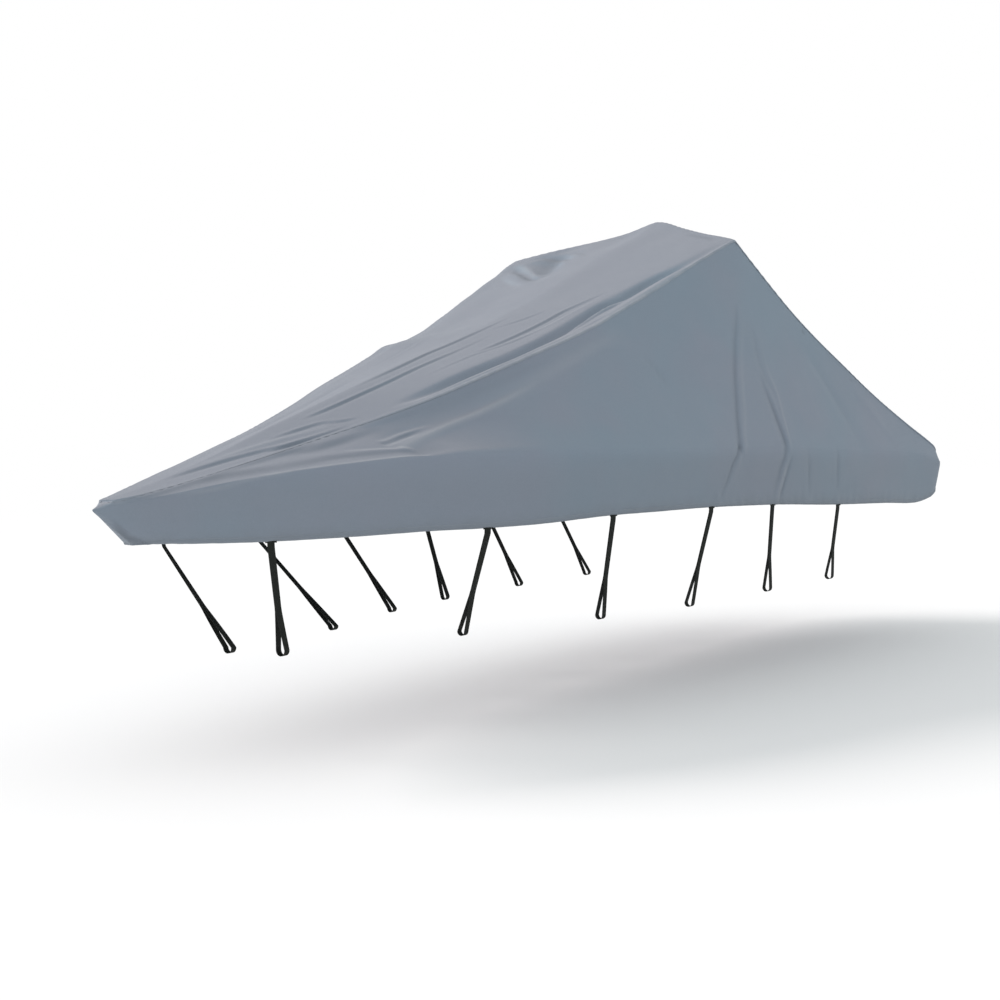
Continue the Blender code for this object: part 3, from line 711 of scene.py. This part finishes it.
def seam_height(distance, along, lap, shown=1.0):
    """The felled seam: a narrow rise, the lap's stand over or under it, and its puckers."""
    rise = SEAM_RISE * bell(distance, SEAM_REACH) * shown
    stand = lap * LAP_STAND / 2 * rise_between(distance, 0, LAP_SETTLES)
    pull = np.sin(along * math.tau / PUCKER_PITCH + 1.7 * np.sin(along * 3.1))
    pull = pull * (0.6 + 0.4 * np.sin(along * 5.3))
    return rise + lap * LAP_STAND / 2 - stand + PUCKER_HEIGHT * pull * bell(distance, PUCKER_REACH)


def hem_height(distance, along, draw):
    """The hem: a cord's low roll, the stitch groove over it, the edge curled in, and draws.

    The draws are short upright wrinkles, a sum of three pitches, that die out upwards.
    """
    wave = sum(np.sin(along * math.tau / pitch + pitch * 40) for pitch in HEM_DRAW_PITCHES) / 3
    return (
        HEM_CORD_RISE * bell(distance - HEM_CORD_AT, HEM_CORD_REACH)
        - HEM_GROOVE * bell(distance - HEM_GROOVE_AT, HEM_GROOVE_REACH)
        - HEM_CURL * bell(distance, HEM_CURL_REACH)
        + HEM_DRAW * draw * wave * bell(distance, HEM_DRAW_REACH)
    )


def sheet_piece(name, points, uv, marks, thickness, material, grid_ring=False):
    """A grid of points as a sheet of quads with a UV map and a float mark per point, made solid."""
    rows, columns = points.shape[:2]
    index = np.arange(rows * columns).reshape(rows, columns)
    if grid_ring:
        index = np.concatenate([index, index[:1]], axis=0)
    faces = np.stack([index[:-1, :-1], index[:-1, 1:], index[1:, 1:], index[1:, :-1]], axis=-1).reshape(-1, 4)
    mesh = bpy.data.meshes.new(name)
    mesh.vertices.add(rows * columns)
    mesh.vertices.foreach_set("co", points.reshape(-1).astype(np.float32))
    mesh.loops.add(faces.size)
    mesh.loops.foreach_set("vertex_index", faces.reshape(-1).astype(np.int32))
    mesh.polygons.add(len(faces))
    mesh.polygons.foreach_set("loop_start", np.arange(0, faces.size, 4, dtype=np.int32))
    mesh.update(calc_edges=True)
    layer = mesh.uv_layers.new(name="cloth")
    layer.data.foreach_set("uv", uv.reshape(-1, 2)[faces.reshape(-1)].reshape(-1).astype(np.float32))
    for mark, values in marks.items():
        attribute = mesh.attributes.new(mark, "FLOAT", "POINT")
        spread = np.broadcast_to(values, (rows, columns)).reshape(-1)
        attribute.data.foreach_set("value", spread.astype(np.float32))
    mesh.materials.append(material)
    mesh.shade_smooth()
    piece = bpy.data.objects.new(name, mesh)
    bpy.context.collection.objects.link(piece)
    solid = piece.modifiers.new("thickness", "SOLIDIFY")
    solid.thickness = thickness
    solid.offset = 0.0
    return piece


def side_panel(side, sign, folds, rises, seed):
    """A side panel: surface, folds and slack, then its hem and its part of the felled seam."""
    rows = np.concatenate([
        np.linspace(0, NOSE_ROW, NOSE_STEPS)[:-1],
        rows_apart(NOSE_ROW, STERN_ROW, SIDE_ROW_STEPS),
    ])
    near_seam = 2 - SEAM_FIRST_STEP * SEAM_STEP_GROWTH**np.arange(SEAM_STEPS)
    t = np.concatenate([
        np.linspace(0, 1, SKIRT_STEPS + 1)**SKIRT_CROWDING,
        np.union1d(np.linspace(1, 2, SIDE_STEPS + 1)[1:-1], near_seam),
        [2.0],
    ])
    points = side_surface(rows, t, rises)
    aft = ORIGIN_AFT - points[..., 0]
    up = points[..., 2] + ORIGIN_UP
    height, crease = fold_fields(aft, up, folds)
    height += slack_height(aft, up, seed)
    points = points + normals(points) * (height * edge_fade(points))[..., None]
    across = walked(points, 1)
    along = np.broadcast_to(walked(points, 0)[:, SKIRT_STEPS:SKIRT_STEPS + 1], across.shape)
    from_hem = across
    from_seam = across[:, -1:] - across
    detail = seam_height(from_seam, along, -1, seam_shown(aft)) + hem_height(from_hem, along, 1.0)
    points = points + normals(points) * detail[..., None]
    uv = np.stack([along, across], axis=-1)
    marks = {
        "from_seam": from_seam,
        "along_seam": along,
        "from_hem": from_hem,
        "crest": bell(from_seam, CREST_REACH) * seam_shown(aft),
        "crease": crease - LAP_PAINTED_LIGHT * bell(from_seam - LAP_WIDTH, LAP_WIDTH) * (1 - seam_shown(aft)),
        "sunned_and_lit": facing_up(points),
    }
    if sign < 0:
        points = mirrored(points)[:, ::-1]
        uv = uv[:, ::-1]
        marks = {mark: values[:, ::-1] for mark, values in marks.items()}
    piece = sheet_piece(f"cloth_side_{side}", points, uv, marks, SHEET_THICK, cloth)
    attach(piece, "root")
    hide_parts(f"side_panel_{side}")


side_panel("port", 1, PORT_FOLDS, PORT_RIDGE, SLACK_SEED)
side_panel("starboard", -1, STARBOARD_FOLDS, STARBOARD_RIDGE, SLACK_SEED + 1)

# ---------------------------------------------------------------------------
# The top: a fore and an aft panel, joined over the peak, which lap over the side
# panels at the ridge seams; the aft one goes on down over the stern to its hem.
# ---------------------------------------------------------------------------
CROWN_ROUND = 0.06
# how far the cloth lies under its even curve at the peak: (half width, drop)
PEAK_DROP = (
    (-0.90, 0.0), (-0.70, 0.004), (-0.45, 0.016), (-0.30, 0.026), (-0.16, 0.034), (-0.06, 0.026),
    (0.03, 0.013),
    (0.12, 0.007), (0.31, 0.014), (0.59, 0.013), (0.80, 0.004), (0.90, 0.0),
)
PEAK_DROP_AFT = 4.93
PEAK_DROP_REACH = 0.26
PORT_SAG = 1.00
STARBOARD_SAG = 0.84
STERN_BULGE = 0.05
TOP_ROW_STEPS = ((0.00, 0.026), (4.05, 0.018), (5.20, 0.026))
TOP_STEPS = 100
DROP_STEPS = 30
LAP_STEPS = (1.0, 0.62, 0.25)
NOSE_LAP_STEPS = (0.8, 0.4)
LAP_ROWS = 0.13
FORE_CREST_REACH = 0.026
AFT_CREST_REACH = 0.016
PEAK_CREST_SHARE = 0.6
DROP_CROWDING = 0.85
STERN_LAP_TURNS = 0.7
STERN_HEM_DRAW = 0.6

FORE_FOLDS = [Fold(*row) for row in (
    # the trough along the port seam, with a steep wall on the crown's side
    (0.032, 0.040, 0.0, 0, -0.06, (
        (1.85, 0.408, 0.0), (2.10, 0.468, -0.020), (2.41, 0.532, -0.029), (2.72, 0.590, -0.032),
        (3.10, 0.608, -0.032), (3.53, 0.614, -0.033), (3.72, 0.668, -0.032), (3.95, 0.708, -0.030),
        (4.24, 0.812, -0.017), (4.43, 0.845, -0.011), (4.64, 0.875, 0.0))),
    # the back between that trough and the seam, with a painted highlight, and the two grooves that split it
    (0.022, 0.034, 0.0, 0, -0.26, (
        (1.75, 0.405, 0.0), (1.94, 0.460, 0.006), (2.34, 0.573, 0.010), (2.80, 0.658, 0.010),
        (3.31, 0.733, 0.007), (3.70, 0.768, 0.009), (4.08, 0.818, 0.005), (4.35, 0.850, 0.0))),
    (0.012, 0.014, 0.0, 0, -0.34, (
        (3.10, 0.622, 0.0), (3.26, 0.634, 0.012), (3.42, 0.640, 0.014), (3.56, 0.668, 0.010),
        (3.68, 0.70, 0.0))),
    (0.011, 0.011, 0.0, 0, 0.34, (
        (3.06, 0.648, 0.0), (3.22, 0.660, -0.005), (3.40, 0.668, -0.006), (3.58, 0.700, -0.004),
        (3.70, 0.73, 0.0))),
    (0.010, 0.010, 0.0, 0, 0.34, (
        (3.08, 0.700, 0.0), (3.20, 0.716, -0.004), (3.34, 0.734, -0.005), (3.46, 0.752, 0.0))),
    # the broad soft shoulders on the crown's side of it, and on starboard
    (0.034, 0.200, 0.0, 0, 0.00, (
        (1.70, 0.330, 0.0), (2.10, 0.400, 0.006), (2.41, 0.465, 0.008), (3.10, 0.535, 0.008),
        (3.53, 0.540, 0.008),
        (3.95, 0.630, 0.006), (4.30, 0.760, 0.0))),
    (0.200, 0.060, 0.0, 0, 0.00, (
        (1.70, -0.330, 0.0), (2.29, -0.460, 0.010), (2.98, -0.570, 0.012), (3.54, -0.660, 0.010),
        (4.00, -0.750, 0.0))),
    # long creases that run up between the crown and the port shoulder
    (0.019, 0.019, 0.0, -1, 0.34, (
        (1.95, 0.022, 0.0010), (2.31, 0.040, 0.0066), (2.62, 0.024, 0.0078), (2.88, 0.037, 0.0068),
        (3.19, 0.056, 0.0030), (3.38, 0.070, 0.0))),
    (0.019, 0.019, 0.0, -1, 0.34, (
        (1.44, 0.086, 0.0010), (1.55, 0.100, 0.0060), (1.70, 0.113, 0.0078), (1.89, 0.126, 0.0078),
        (2.14, 0.147, 0.0074), (2.45, 0.163, 0.0060), (2.80, 0.173, 0.0026), (3.05, 0.180, 0.0))),
    (0.021, 0.021, 0.0, -1, 0.36, (
        (2.68, 0.318, 0.0010), (2.85, 0.348, 0.0070), (3.18, 0.385, 0.0082), (3.42, 0.402, 0.0080),
        (3.58, 0.440, 0.0060), (3.80, 0.500, 0.0))),
    (0.018, 0.018, 0.0, -1, 0.20, ((3.10, 0.110, 0.0006), (3.30, 0.200, 0.0044), (3.50, 0.270, 0.0))),
    (0.018, 0.018, 0.0, -1, 0.20, (
        (2.20, 0.300, 0.0), (2.60, 0.330, 0.0030), (2.90, 0.420, 0.0034), (3.20, 0.460, 0.0))),
    (0.018, 0.018, 0.0, 1, -0.20, (
        (2.90, 0.400, 0.0), (3.20, 0.450, 0.0040), (3.50, 0.480, 0.0030), (3.70, 0.520, 0.0))),
    # streaks along the bow, and between them backs with a painted highlight
    (0.024, 0.024, 0.0, -1, 0.36, (
        (0.46, 0.020, 0.0), (0.62, 0.060, 0.0068), (0.76, 0.104, 0.0086), (0.92, 0.166, 0.0084),
        (1.19, 0.276, 0.0040), (1.28, 0.300, 0.0))),
    (0.022, 0.022, 0.0, -1, 0.34, (
        (0.96, 0.214, 0.0), (1.07, 0.248, 0.0062), (1.24, 0.291, 0.0080), (1.35, 0.317, 0.0066),
        (1.52, 0.350, 0.0))),
    (0.019, 0.019, 0.0, -1, 0.32, (
        (1.12, 0.118, 0.0), (1.31, 0.165, 0.0064), (1.44, 0.200, 0.0050), (1.52, 0.270, 0.0062),
        (1.62, 0.325, 0.0))),
    (0.026, 0.026, 0.0, 0, -0.22, ((0.60, 0.010, 0.001), (1.00, 0.120, 0.006), (1.40, 0.260, 0.003))),
    # the hollow inside the starboard corner and the crescents that it throws up
    (0.120, 0.120, 0.0, 0, 0.56, (
        (4.31, -0.375, -0.020), (4.42, -0.450, -0.040), (4.55, -0.500, -0.042), (4.68, -0.530, -0.030),
        (4.74, -0.540, -0.012))),
    (0.030, 0.050, 0.0, -1, 0.34, (
        (4.60, -0.760, 0.004), (4.68, -0.620, 0.012), (4.62, -0.420, 0.014), (4.53, -0.320, 0.006),
        (4.46, -0.26, 0.0))),
    (0.034, 0.034, 0.0, 1, -0.46, (
        (4.56, -0.800, 0.002), (4.49, -0.673, 0.011), (4.39, -0.544, 0.012), (4.27, -0.399, 0.005),
        (4.22, -0.330, 0.0))),
    (0.042, 0.042, 0.0, -1, 0.56, (
        (4.47, -0.780, 0.004), (4.41, -0.689, 0.018), (4.29, -0.527, 0.020), (4.19, -0.365, 0.008),
        (4.15, -0.280, 0.0))),
    (0.034, 0.034, 0.0, 1, -0.24, (
        (4.36, -0.780, 0.001), (4.24, -0.616, 0.007), (4.16, -0.500, 0.007), (4.10, -0.394, 0.001))),
    (0.030, 0.030, 0.0, -1, 0.34, ((4.72, -0.450, 0.001), (4.66, -0.322, 0.010), (4.56, -0.182, 0.001))),
    # the dent inside the port corner, darkened by painted shade
    (0.030, 0.030, 0.0, -1, 0.48, (
        (4.84, 0.440, 0.001), (4.80, 0.540, 0.007), (4.73, 0.680, 0.007), (4.70, 0.740, 0.0))),
    # the starboard side's own long creases
    (0.050, 0.045, 0.0, 0, 0.05, (
        (0.60, -0.080, -0.002), (1.25, -0.170, -0.007), (1.90, -0.240, -0.008), (2.3, -0.26, 0.0))),
    (0.026, 0.026, 0.0, 1, 0.10, ((2.30, -0.300, 0.001), (2.85, -0.380, 0.005), (3.40, -0.440, 0.001))),
)]
AFT_FOLDS = [Fold(*row) for row in (
    (0.090, 0.080, 0.0, 0, 0.00, ((5.30, 0.100, -0.004), (5.95, 0.250, -0.010), (6.60, 0.350, -0.012))),
    (0.080, 0.070, 0.0, 0, 0.00, ((5.10, -0.300, -0.006), (5.75, -0.480, -0.010), (6.40, -0.620, -0.010))),
    (0.070, 0.070, 0.0, 0, 0.00, ((5.60, 0.620, 0.0), (6.15, 0.730, -0.008), (6.70, 0.800, -0.006))),
    (0.030, 0.026, 0.0, -1, 0.15, ((5.25, 0.500, 0.001), (5.60, 0.540, 0.005), (6.10, 0.560, 0.001))),
    (0.030, 0.026, 0.0, 1, 0.15, ((5.20, -0.100, 0.001), (5.80, -0.160, 0.005), (6.50, -0.200, 0.001))),
)]


def half_top(rows, away, sag, rises):
    """Half of the top, on port: away runs 1 at the seam to 0 at the crown.

    The section falls from crown to seam with a rounded crown, and the half width is
    the seam's times away.
    """
    fall = np.sqrt(away**2 + CROWN_ROUND**2) - CROWN_ROUND
    half = section(rows, 3 - (fall / fall[0])**sag, rises)
    half[..., 1] = half[:, :1, 1] * away
    return half


def top_surface(rows):
    """Both halves of the top, from the port ridge seam to the starboard one.

    Near the peak the points are lowered by PEAK_DROP's curve of the half width times a
    bell of the distance from PEAK_DROP_AFT.
    """
    away = np.union1d(np.linspace(0, 1, TOP_STEPS + 1), 1 - 0.004 * 1.5**np.arange(3))[::-1]
    port = half_top(rows, away, PORT_SAG, PORT_RIDGE)
    starboard = half_top(rows, away, STARBOARD_SAG, STARBOARD_RIDGE)
    points = np.concatenate([port, mirrored(starboard[:, -2::-1])], axis=1)
    halves, drops = np.array(PEAK_DROP).T
    drop = smooth_through(drops, np.interp(points[..., 1], halves, np.arange(len(halves))))
    points[..., 2] -= drop * bell(ORIGIN_AFT - points[..., 0] - PEAK_DROP_AFT, PEAK_DROP_REACH)
    return points


def side_at(rows, t, rises):
    """Points of a side panel, on port, one for each pair of row and t."""
    return side_surface(rows, t[:, None], rises)[:, 0]


def with_laps(points, lap_places):
    """A top panel with the columns of its lap on both sides; a place is its rows and t."""
    port = [side_at(rows, t, PORT_RIDGE) for rows, t in lap_places]
    starboard = [mirrored(side_at(rows, t, STARBOARD_RIDGE)) for rows, t in lap_places[::-1]]
    return np.concatenate([np.stack(port, axis=1), points, np.stack(starboard, axis=1)], axis=1)


def top_marks(points, laps):
    """Distance from the nearer ridge seam (below 0 on the lap), and from the crown line."""
    across = walked(points, 1)
    last = points.shape[1] - 1 - laps
    from_seam = np.minimum(across - across[:, laps:laps + 1], across[:, last:last + 1] - across)
    middle = points.shape[1] // 2
    return from_seam, across[:, middle:middle + 1] - across


def top_piece(name, node, points, along, across, marks):
    uv = np.stack([along, across], axis=-1)
    piece = sheet_piece(name, points, uv, marks, SHEET_THICK, cloth)
    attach(piece, "root")
    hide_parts(node)


def fore_panel():
    """The fore top: it laps over the sides, the nose facet and the aft panel."""
    rows = rows_apart(NOSE_ROW, PEAK_ROW, TOP_ROW_STEPS)
    lap_at_peak = PEAK_ROW + LAP_ROWS * np.array(LAP_STEPS[::-1])
    points = top_surface(rows)
    aft = ORIGIN_AFT - points[..., 0]
    height, crease = fold_fields(aft, points[..., 1], FORE_FOLDS)
    height += slack_height(aft, points[..., 1], SLACK_SEED + 2)
    points = points + normals(points) * (height * edge_fade(points, SEAM_FADE))[..., None]
    share = np.clip(np.abs(points[0, :, 1]) / points[0, 0, 1], 0, 1) * NOSE_ROW
    reach = np.linalg.norm(side_reach(share, PORT_RIDGE), axis=-1)
    over_nose = [side_at(share, 2 - LAP_WIDTH * step / reach, PORT_RIDGE) for step in NOSE_LAP_STEPS]
    over_nose = np.stack(over_nose)
    over_nose[..., 1] *= np.where(points[0, :, 1] < 0, -1.0, 1.0)
    points = np.concatenate([over_nose, points, top_surface(lap_at_peak)])
    crease = np.pad(crease, ((len(NOSE_LAP_STEPS), len(LAP_STEPS)), (len(LAP_STEPS), len(LAP_STEPS))))
    lap_rows = np.concatenate([np.full(len(NOSE_LAP_STEPS), NOSE_ROW), rows, lap_at_peak])
    reach = np.linalg.norm(side_reach(lap_rows, PORT_RIDGE), axis=-1)
    down_nose = np.zeros(len(lap_rows))
    down_nose[:len(NOSE_LAP_STEPS)] = np.array(NOSE_LAP_STEPS) * LAP_WIDTH
    points = with_laps(points, [(lap_rows, 2 - (LAP_WIDTH * step + down_nose) / reach) for step in LAP_STEPS])
    from_seam, across = top_marks(points, len(LAP_STEPS))
    along = walked(points, 0)[:, points.shape[1] // 2][:, None] * np.ones(points.shape[1])
    peak = len(points) - 1 - len(LAP_STEPS)
    from_peak = walked(points, 0)
    from_peak = from_peak[peak:peak + 1] - from_peak
    shown = seam_shown(ORIGIN_AFT - points[..., 0])
    detail = seam_height(from_seam, along, 1, shown) + seam_height(from_peak, across, 1) - LAP_STAND / 2
    points = points + normals(points) * detail[..., None]
    marks = {
        "from_seam": np.minimum(from_seam, from_peak),
        "along_seam": np.where(from_seam < from_peak, along, across),
        "from_hem": NO_EDGE,
        "crest": np.maximum(
            bell(from_seam, FORE_CREST_REACH) * shown, bell(from_peak, CREST_REACH) * PEAK_CREST_SHARE,
        ),
        "crease": crease - LAP_PAINTED_LIGHT * bell(from_seam + LAP_WIDTH, LAP_WIDTH / 2) * (1 - shown),
        "sunned_and_lit": facing_up(points),
    }
    top_piece("cloth_top_fore", "fore_panel", points, along, across, marks)


def aft_panel():
    """The aft top, under the fore one's lap at the peak, and its drop over the stern."""
    rows = rows_apart(PEAK_ROW, STERN_ROW, TOP_ROW_STEPS)
    points = top_surface(rows)
    down = np.linspace(0, 1, DROP_STEPS + 1)[1:]**DROP_CROWDING
    corner = side_at(np.full(DROP_STEPS, float(STERN_ROW)), 2 - 2 * down, PORT_RIDGE)
    across = points[-1, :, 1] / points[-1, 0, 1]
    rise = points[-1, :, 2] - points[-1, 0, 2]
    bulge = STERN_BULGE * (1 - across**2) * np.sin(math.pi / 2 * down)[:, None]
    drop = np.stack([
        corner[:, :1] - bulge,
        corner[:, 1:2] * across,
        corner[:, 2:] + rise * (1 - down)[:, None],
    ], axis=-1)
    points = np.concatenate([points, drop])
    aft = ORIGIN_AFT - points[..., 0]
    height, crease = fold_fields(aft, points[..., 1], AFT_FOLDS)
    height += slack_height(aft, points[..., 1], SLACK_SEED + 3)
    points = points + normals(points) * (height * edge_fade(points))[..., None]
    crease = np.pad(crease, ((0, 0), (len(LAP_STEPS), len(LAP_STEPS))))
    lap_rows = np.concatenate([rows, np.full(DROP_STEPS, float(STERN_ROW))])
    lap_t = np.concatenate([np.full(len(rows), 2.0), 2 - 2 * down])
    turned = rise_between(lap_rows, STERN_ROW - STERN_LAP_TURNS, STERN_ROW)
    reach = np.linalg.norm(side_reach(lap_rows, PORT_RIDGE), axis=-1)
    points = with_laps(points, [
        (lap_rows - LAP_ROWS * step * turned, lap_t - LAP_WIDTH * step / reach * (1 - turned))
        for step in LAP_STEPS
    ])
    from_seam, across = top_marks(points, len(LAP_STEPS))
    from_peak = walked(points, 0)
    along = from_peak[:, points.shape[1] // 2][:, None] * np.ones(points.shape[1])
    from_hem = from_peak[-1:] - from_peak
    detail = (
        seam_height(from_seam, along, 1) + seam_height(from_peak, across, -1) + LAP_STAND / 2
        + hem_height(from_hem, across, STERN_HEM_DRAW)
    )
    points = points + normals(points) * detail[..., None]
    marks = {
        "from_seam": from_seam,
        "along_seam": along,
        "from_hem": from_hem,
        "crest": np.maximum(
            bell(from_seam, AFT_CREST_REACH), bell(from_peak, CREST_REACH) * PEAK_CREST_SHARE,
        ),
        "crease": crease,
        "sunned_and_lit": facing_up(points),
    }
    top_piece("cloth_top_aft", "aft_panel", points, along, across, marks)


fore_panel()
aft_panel()

# ---------------------------------------------------------------------------
# The ties: black webbing, six a side, each a closed loop that hangs from a tab
# sewn behind the hem, flat against itself at first and open at its foot.
# ---------------------------------------------------------------------------
WEB_WIDTH = 0.038
WEB_THICK = 0.0020
CLOTH_THICK = 0.0016
CLEAR = 0.0005
WEB_COLOR = (0.007, 0.009, 0.007, 1.0)
WEB_DUSTY = (0.026, 0.030, 0.026, 1.0)
RIB_PITCH = 0.0024

Tie = namedtuple("Tie", ("aft", "foot_aft", "foot_half", "foot_up", "foot_wide"))
TIES = [Tie(*row) for row in (
    (0.80, 1.05, 0.20, 0.650, 0.062),
    (1.96, 2.19, 0.50, 0.625, 0.050),
    (2.89, 3.09, 0.82, 0.620, 0.050),
    (3.84, 3.82, 0.98, 0.615, 0.050),
    (4.55, 4.70, 1.02, 0.615, 0.050),
    (5.42, 5.54, 1.02, 0.610, 0.050),
)]
FOOT_DEEP = 0.100
FOOT_STEPS = 11
HEAD_DEEP = 0.030
HEAD_CORNER = 0.002
PLIES_PART_AT = 0.6
LEGS_SPREAD = 0.9
LEG_STEPS = 22
WEB_COLUMNS = 7
TAB_LENGTH = 0.062
TAB_HEIGHT = 0.022
TAB_THICK = 0.0024
TAB_BELOW_HEM = 0.006
TAB_ROUTE = ((-0.50, 0), (-0.44, 0), (-0.36, 1), (0.36, 1), (0.44, 0), (0.50, 0))
HEM_SAMPLES = 400
HEM_SPAN = 0.02
SKIRT_SPAN = 0.2


def web_material(name):
    """Ribbed black webbing with dusty, slightly furred edges."""
    material, start = new_material(name)
    place = start.node("ShaderNodeTexCoord", output="Object")
    way = start.node("ShaderNodeSeparateXYZ", None, {0: start.node("ShaderNodeUVMap", {"uv_map": "cloth"})})
    along = Socket(start.tree, way.socket.node.outputs["X"])
    across = Socket(start.tree, way.socket.node.outputs["Y"])
    dust = start.node("ShaderNodeTexNoise", None, {"Vector": place, "Scale": 22.0, "Detail": 5.0})
    edge = across.magnitude().smooth(WEB_WIDTH * 0.34, WEB_WIDTH * 0.5)
    ribs = (along * (math.tau / RIB_PITCH)).sine() * (across * (math.tau / (RIB_PITCH * 1.6))).sine()
    base = (dust.smooth(0.4, 0.75, 0.0, 0.5) + edge * 0.25).blend(WEB_COLOR, WEB_DUSTY)
    bumped = start.node("ShaderNodeBump", None, {"Distance": 1.0, "Height": ribs * 0.0003})
    shader = start.node("ShaderNodeBsdfPrincipled", None, {
        "Base Color": base, "Roughness": dust.smooth(0.3, 0.7, 0.6, 0.8), "Normal": bumped,
        "Specular IOR Level": 0.22,
    })
    start.node("ShaderNodeOutputMaterial", None, {"Surface": shader})
    return material


webbing = web_material("black_webbing")


def hem_frame(aft):
    """Where a tie hangs: a point on the hem, the way along it, down the skirt and in."""
    rows = np.linspace(NOSE_ROW, STERN_ROW, HEM_SAMPLES)
    row = np.interp(aft, station_value("aft", rows) + station_value("hem_lag", rows), rows)
    around = section(np.array([row - HEM_SPAN, row + HEM_SPAN]), np.array([0.0, SKIRT_SPAN]), PORT_RIDGE)
    point = around[:, 0].mean(axis=0)
    along = unit(around[0, 0] - around[1, 0])
    down = unit(point - around[:, 1].mean(axis=0))
    return point, along, down, unit(np.cross(down, along))


def head_path(tie):
    """The top of a tie's loop, over the tab, from its outer leg to its inner one."""
    point, _, down, inward = hem_frame(tie.aft)
    tab_in = CLOTH_THICK / 2 + CLEAR + WEB_THICK + CLEAR + TAB_THICK / 2
    ply = TAB_THICK / 2 + CLEAR + WEB_THICK / 2
    top = TAB_BELOW_HEM - TAB_HEIGHT - CLEAR - WEB_THICK
    over = (
        (-ply, HEAD_DEEP), (-ply, top + HEAD_CORNER), (-ply / 2, top),
        (ply / 2, top), (ply, top + HEAD_CORNER), (ply, HEAD_DEEP),
    )
    return [point + inward * (tab_in + side) + down * fall for side, fall in over]


def foot_path(tie):
    """The bottom of a tie's loop: half a circle from its outer leg round to its inner one."""
    reach = tie.foot_wide / 2
    round_up = tie.foot_up - FOOT_DEEP + reach - ORIGIN_UP
    way = np.linspace(0, math.pi, FOOT_STEPS)
    return np.stack([
        np.full(FOOT_STEPS, ORIGIN_AFT - tie.foot_aft),
        tie.foot_half + reach * np.cos(way),
        round_up - reach * np.sin(way),
    ], axis=-1)


def leg_points(head, foot, outward, shares, side):
    """Points of a leg: its plies lie together down to PLIES_PART_AT, and part below it."""
    shares = np.asarray(shares)[:, None]
    middle = (head[0] + head[-1]) / 2 * (1 - shares) + (foot[0] + foot[-1]) / 2 * shares
    apart = np.clip((shares - PLIES_PART_AT) / (1 - PLIES_PART_AT), 0, 1)**LEGS_SPREAD
    close = np.linalg.norm(head[0] - head[-1]) / 2
    wide = np.linalg.norm(foot[0] - foot[-1]) / 2
    way = unit(outward * (1 - shares) + np.array((0.0, 1.0, 0.0)) * shares)
    return middle + way * side * (close + (wide - close) * apart)


def tie_ribbon(tie):
    """A tie's path, and the way of its width: the hem's at the head, fore and aft below."""
    head = head_path(tie)
    foot = foot_path(tie)
    shares = np.linspace(0, 1, LEG_STEPS)[1:-1]
    _, hem_way, _, inward = hem_frame(tie.aft)
    outer = leg_points(head, foot, -inward, shares, 1)
    inner = leg_points(head, foot, -inward, shares[::-1], -1)
    path = np.concatenate([head[::-1], outer, foot, inner])
    share_down = np.concatenate([np.zeros(len(head)), shares, np.ones(len(foot)), shares[::-1]])[:, None]
    width = unit(hem_way * (1 - share_down) + np.array((1.0, 0.0, 0.0)) * share_down)
    return path, width


def web_piece(name, node, path, width, wide, thick, sign, ring):
    steps = np.linspace(-0.5, 0.5, WEB_COLUMNS)
    points = path[:, None, :] + width[:, None, :] * (steps * wide)[None, :, None]
    middle = WEB_COLUMNS // 2
    along = np.broadcast_to(walked(points, 0)[:, middle:middle + 1], points.shape[:2])
    across = np.broadcast_to(steps * wide, points.shape[:2])
    uv = np.stack([along, across], axis=-1)
    if sign < 0:
        points = mirrored(points)[:, ::-1]
        uv = uv[:, ::-1]
    piece = sheet_piece(name, points, uv, {}, thick, webbing, ring)
    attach(piece, "root")
    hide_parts(node)


for side, sign in (("port", 1), ("starboard", -1)):
    for number, tie in enumerate(TIES, start=1):
        path, width = tie_ribbon(tie)
        web_piece(
            f"web_tie_{side}_{number}", f"tie_{side}_{number}", path, width, WEB_WIDTH, WEB_THICK, sign, True,
        )
        point, along, down, inward = hem_frame(tie.aft)
        sewn = CLOTH_THICK / 2 + CLEAR + TAB_THICK / 2
        stand = WEB_THICK + CLEAR
        middle = down * (TAB_BELOW_HEM - TAB_HEIGHT / 2)
        path = np.array([
            point + along * share * TAB_LENGTH + inward * (sewn + stand * off) + middle
            for share, off in TAB_ROUTE
        ])
        width = np.broadcast_to(down, path.shape)
        web_piece(
            f"web_tab_{side}_{number}", f"tab_{side}_{number}",
            path, width, TAB_HEIGHT, TAB_THICK, sign, False,
        )
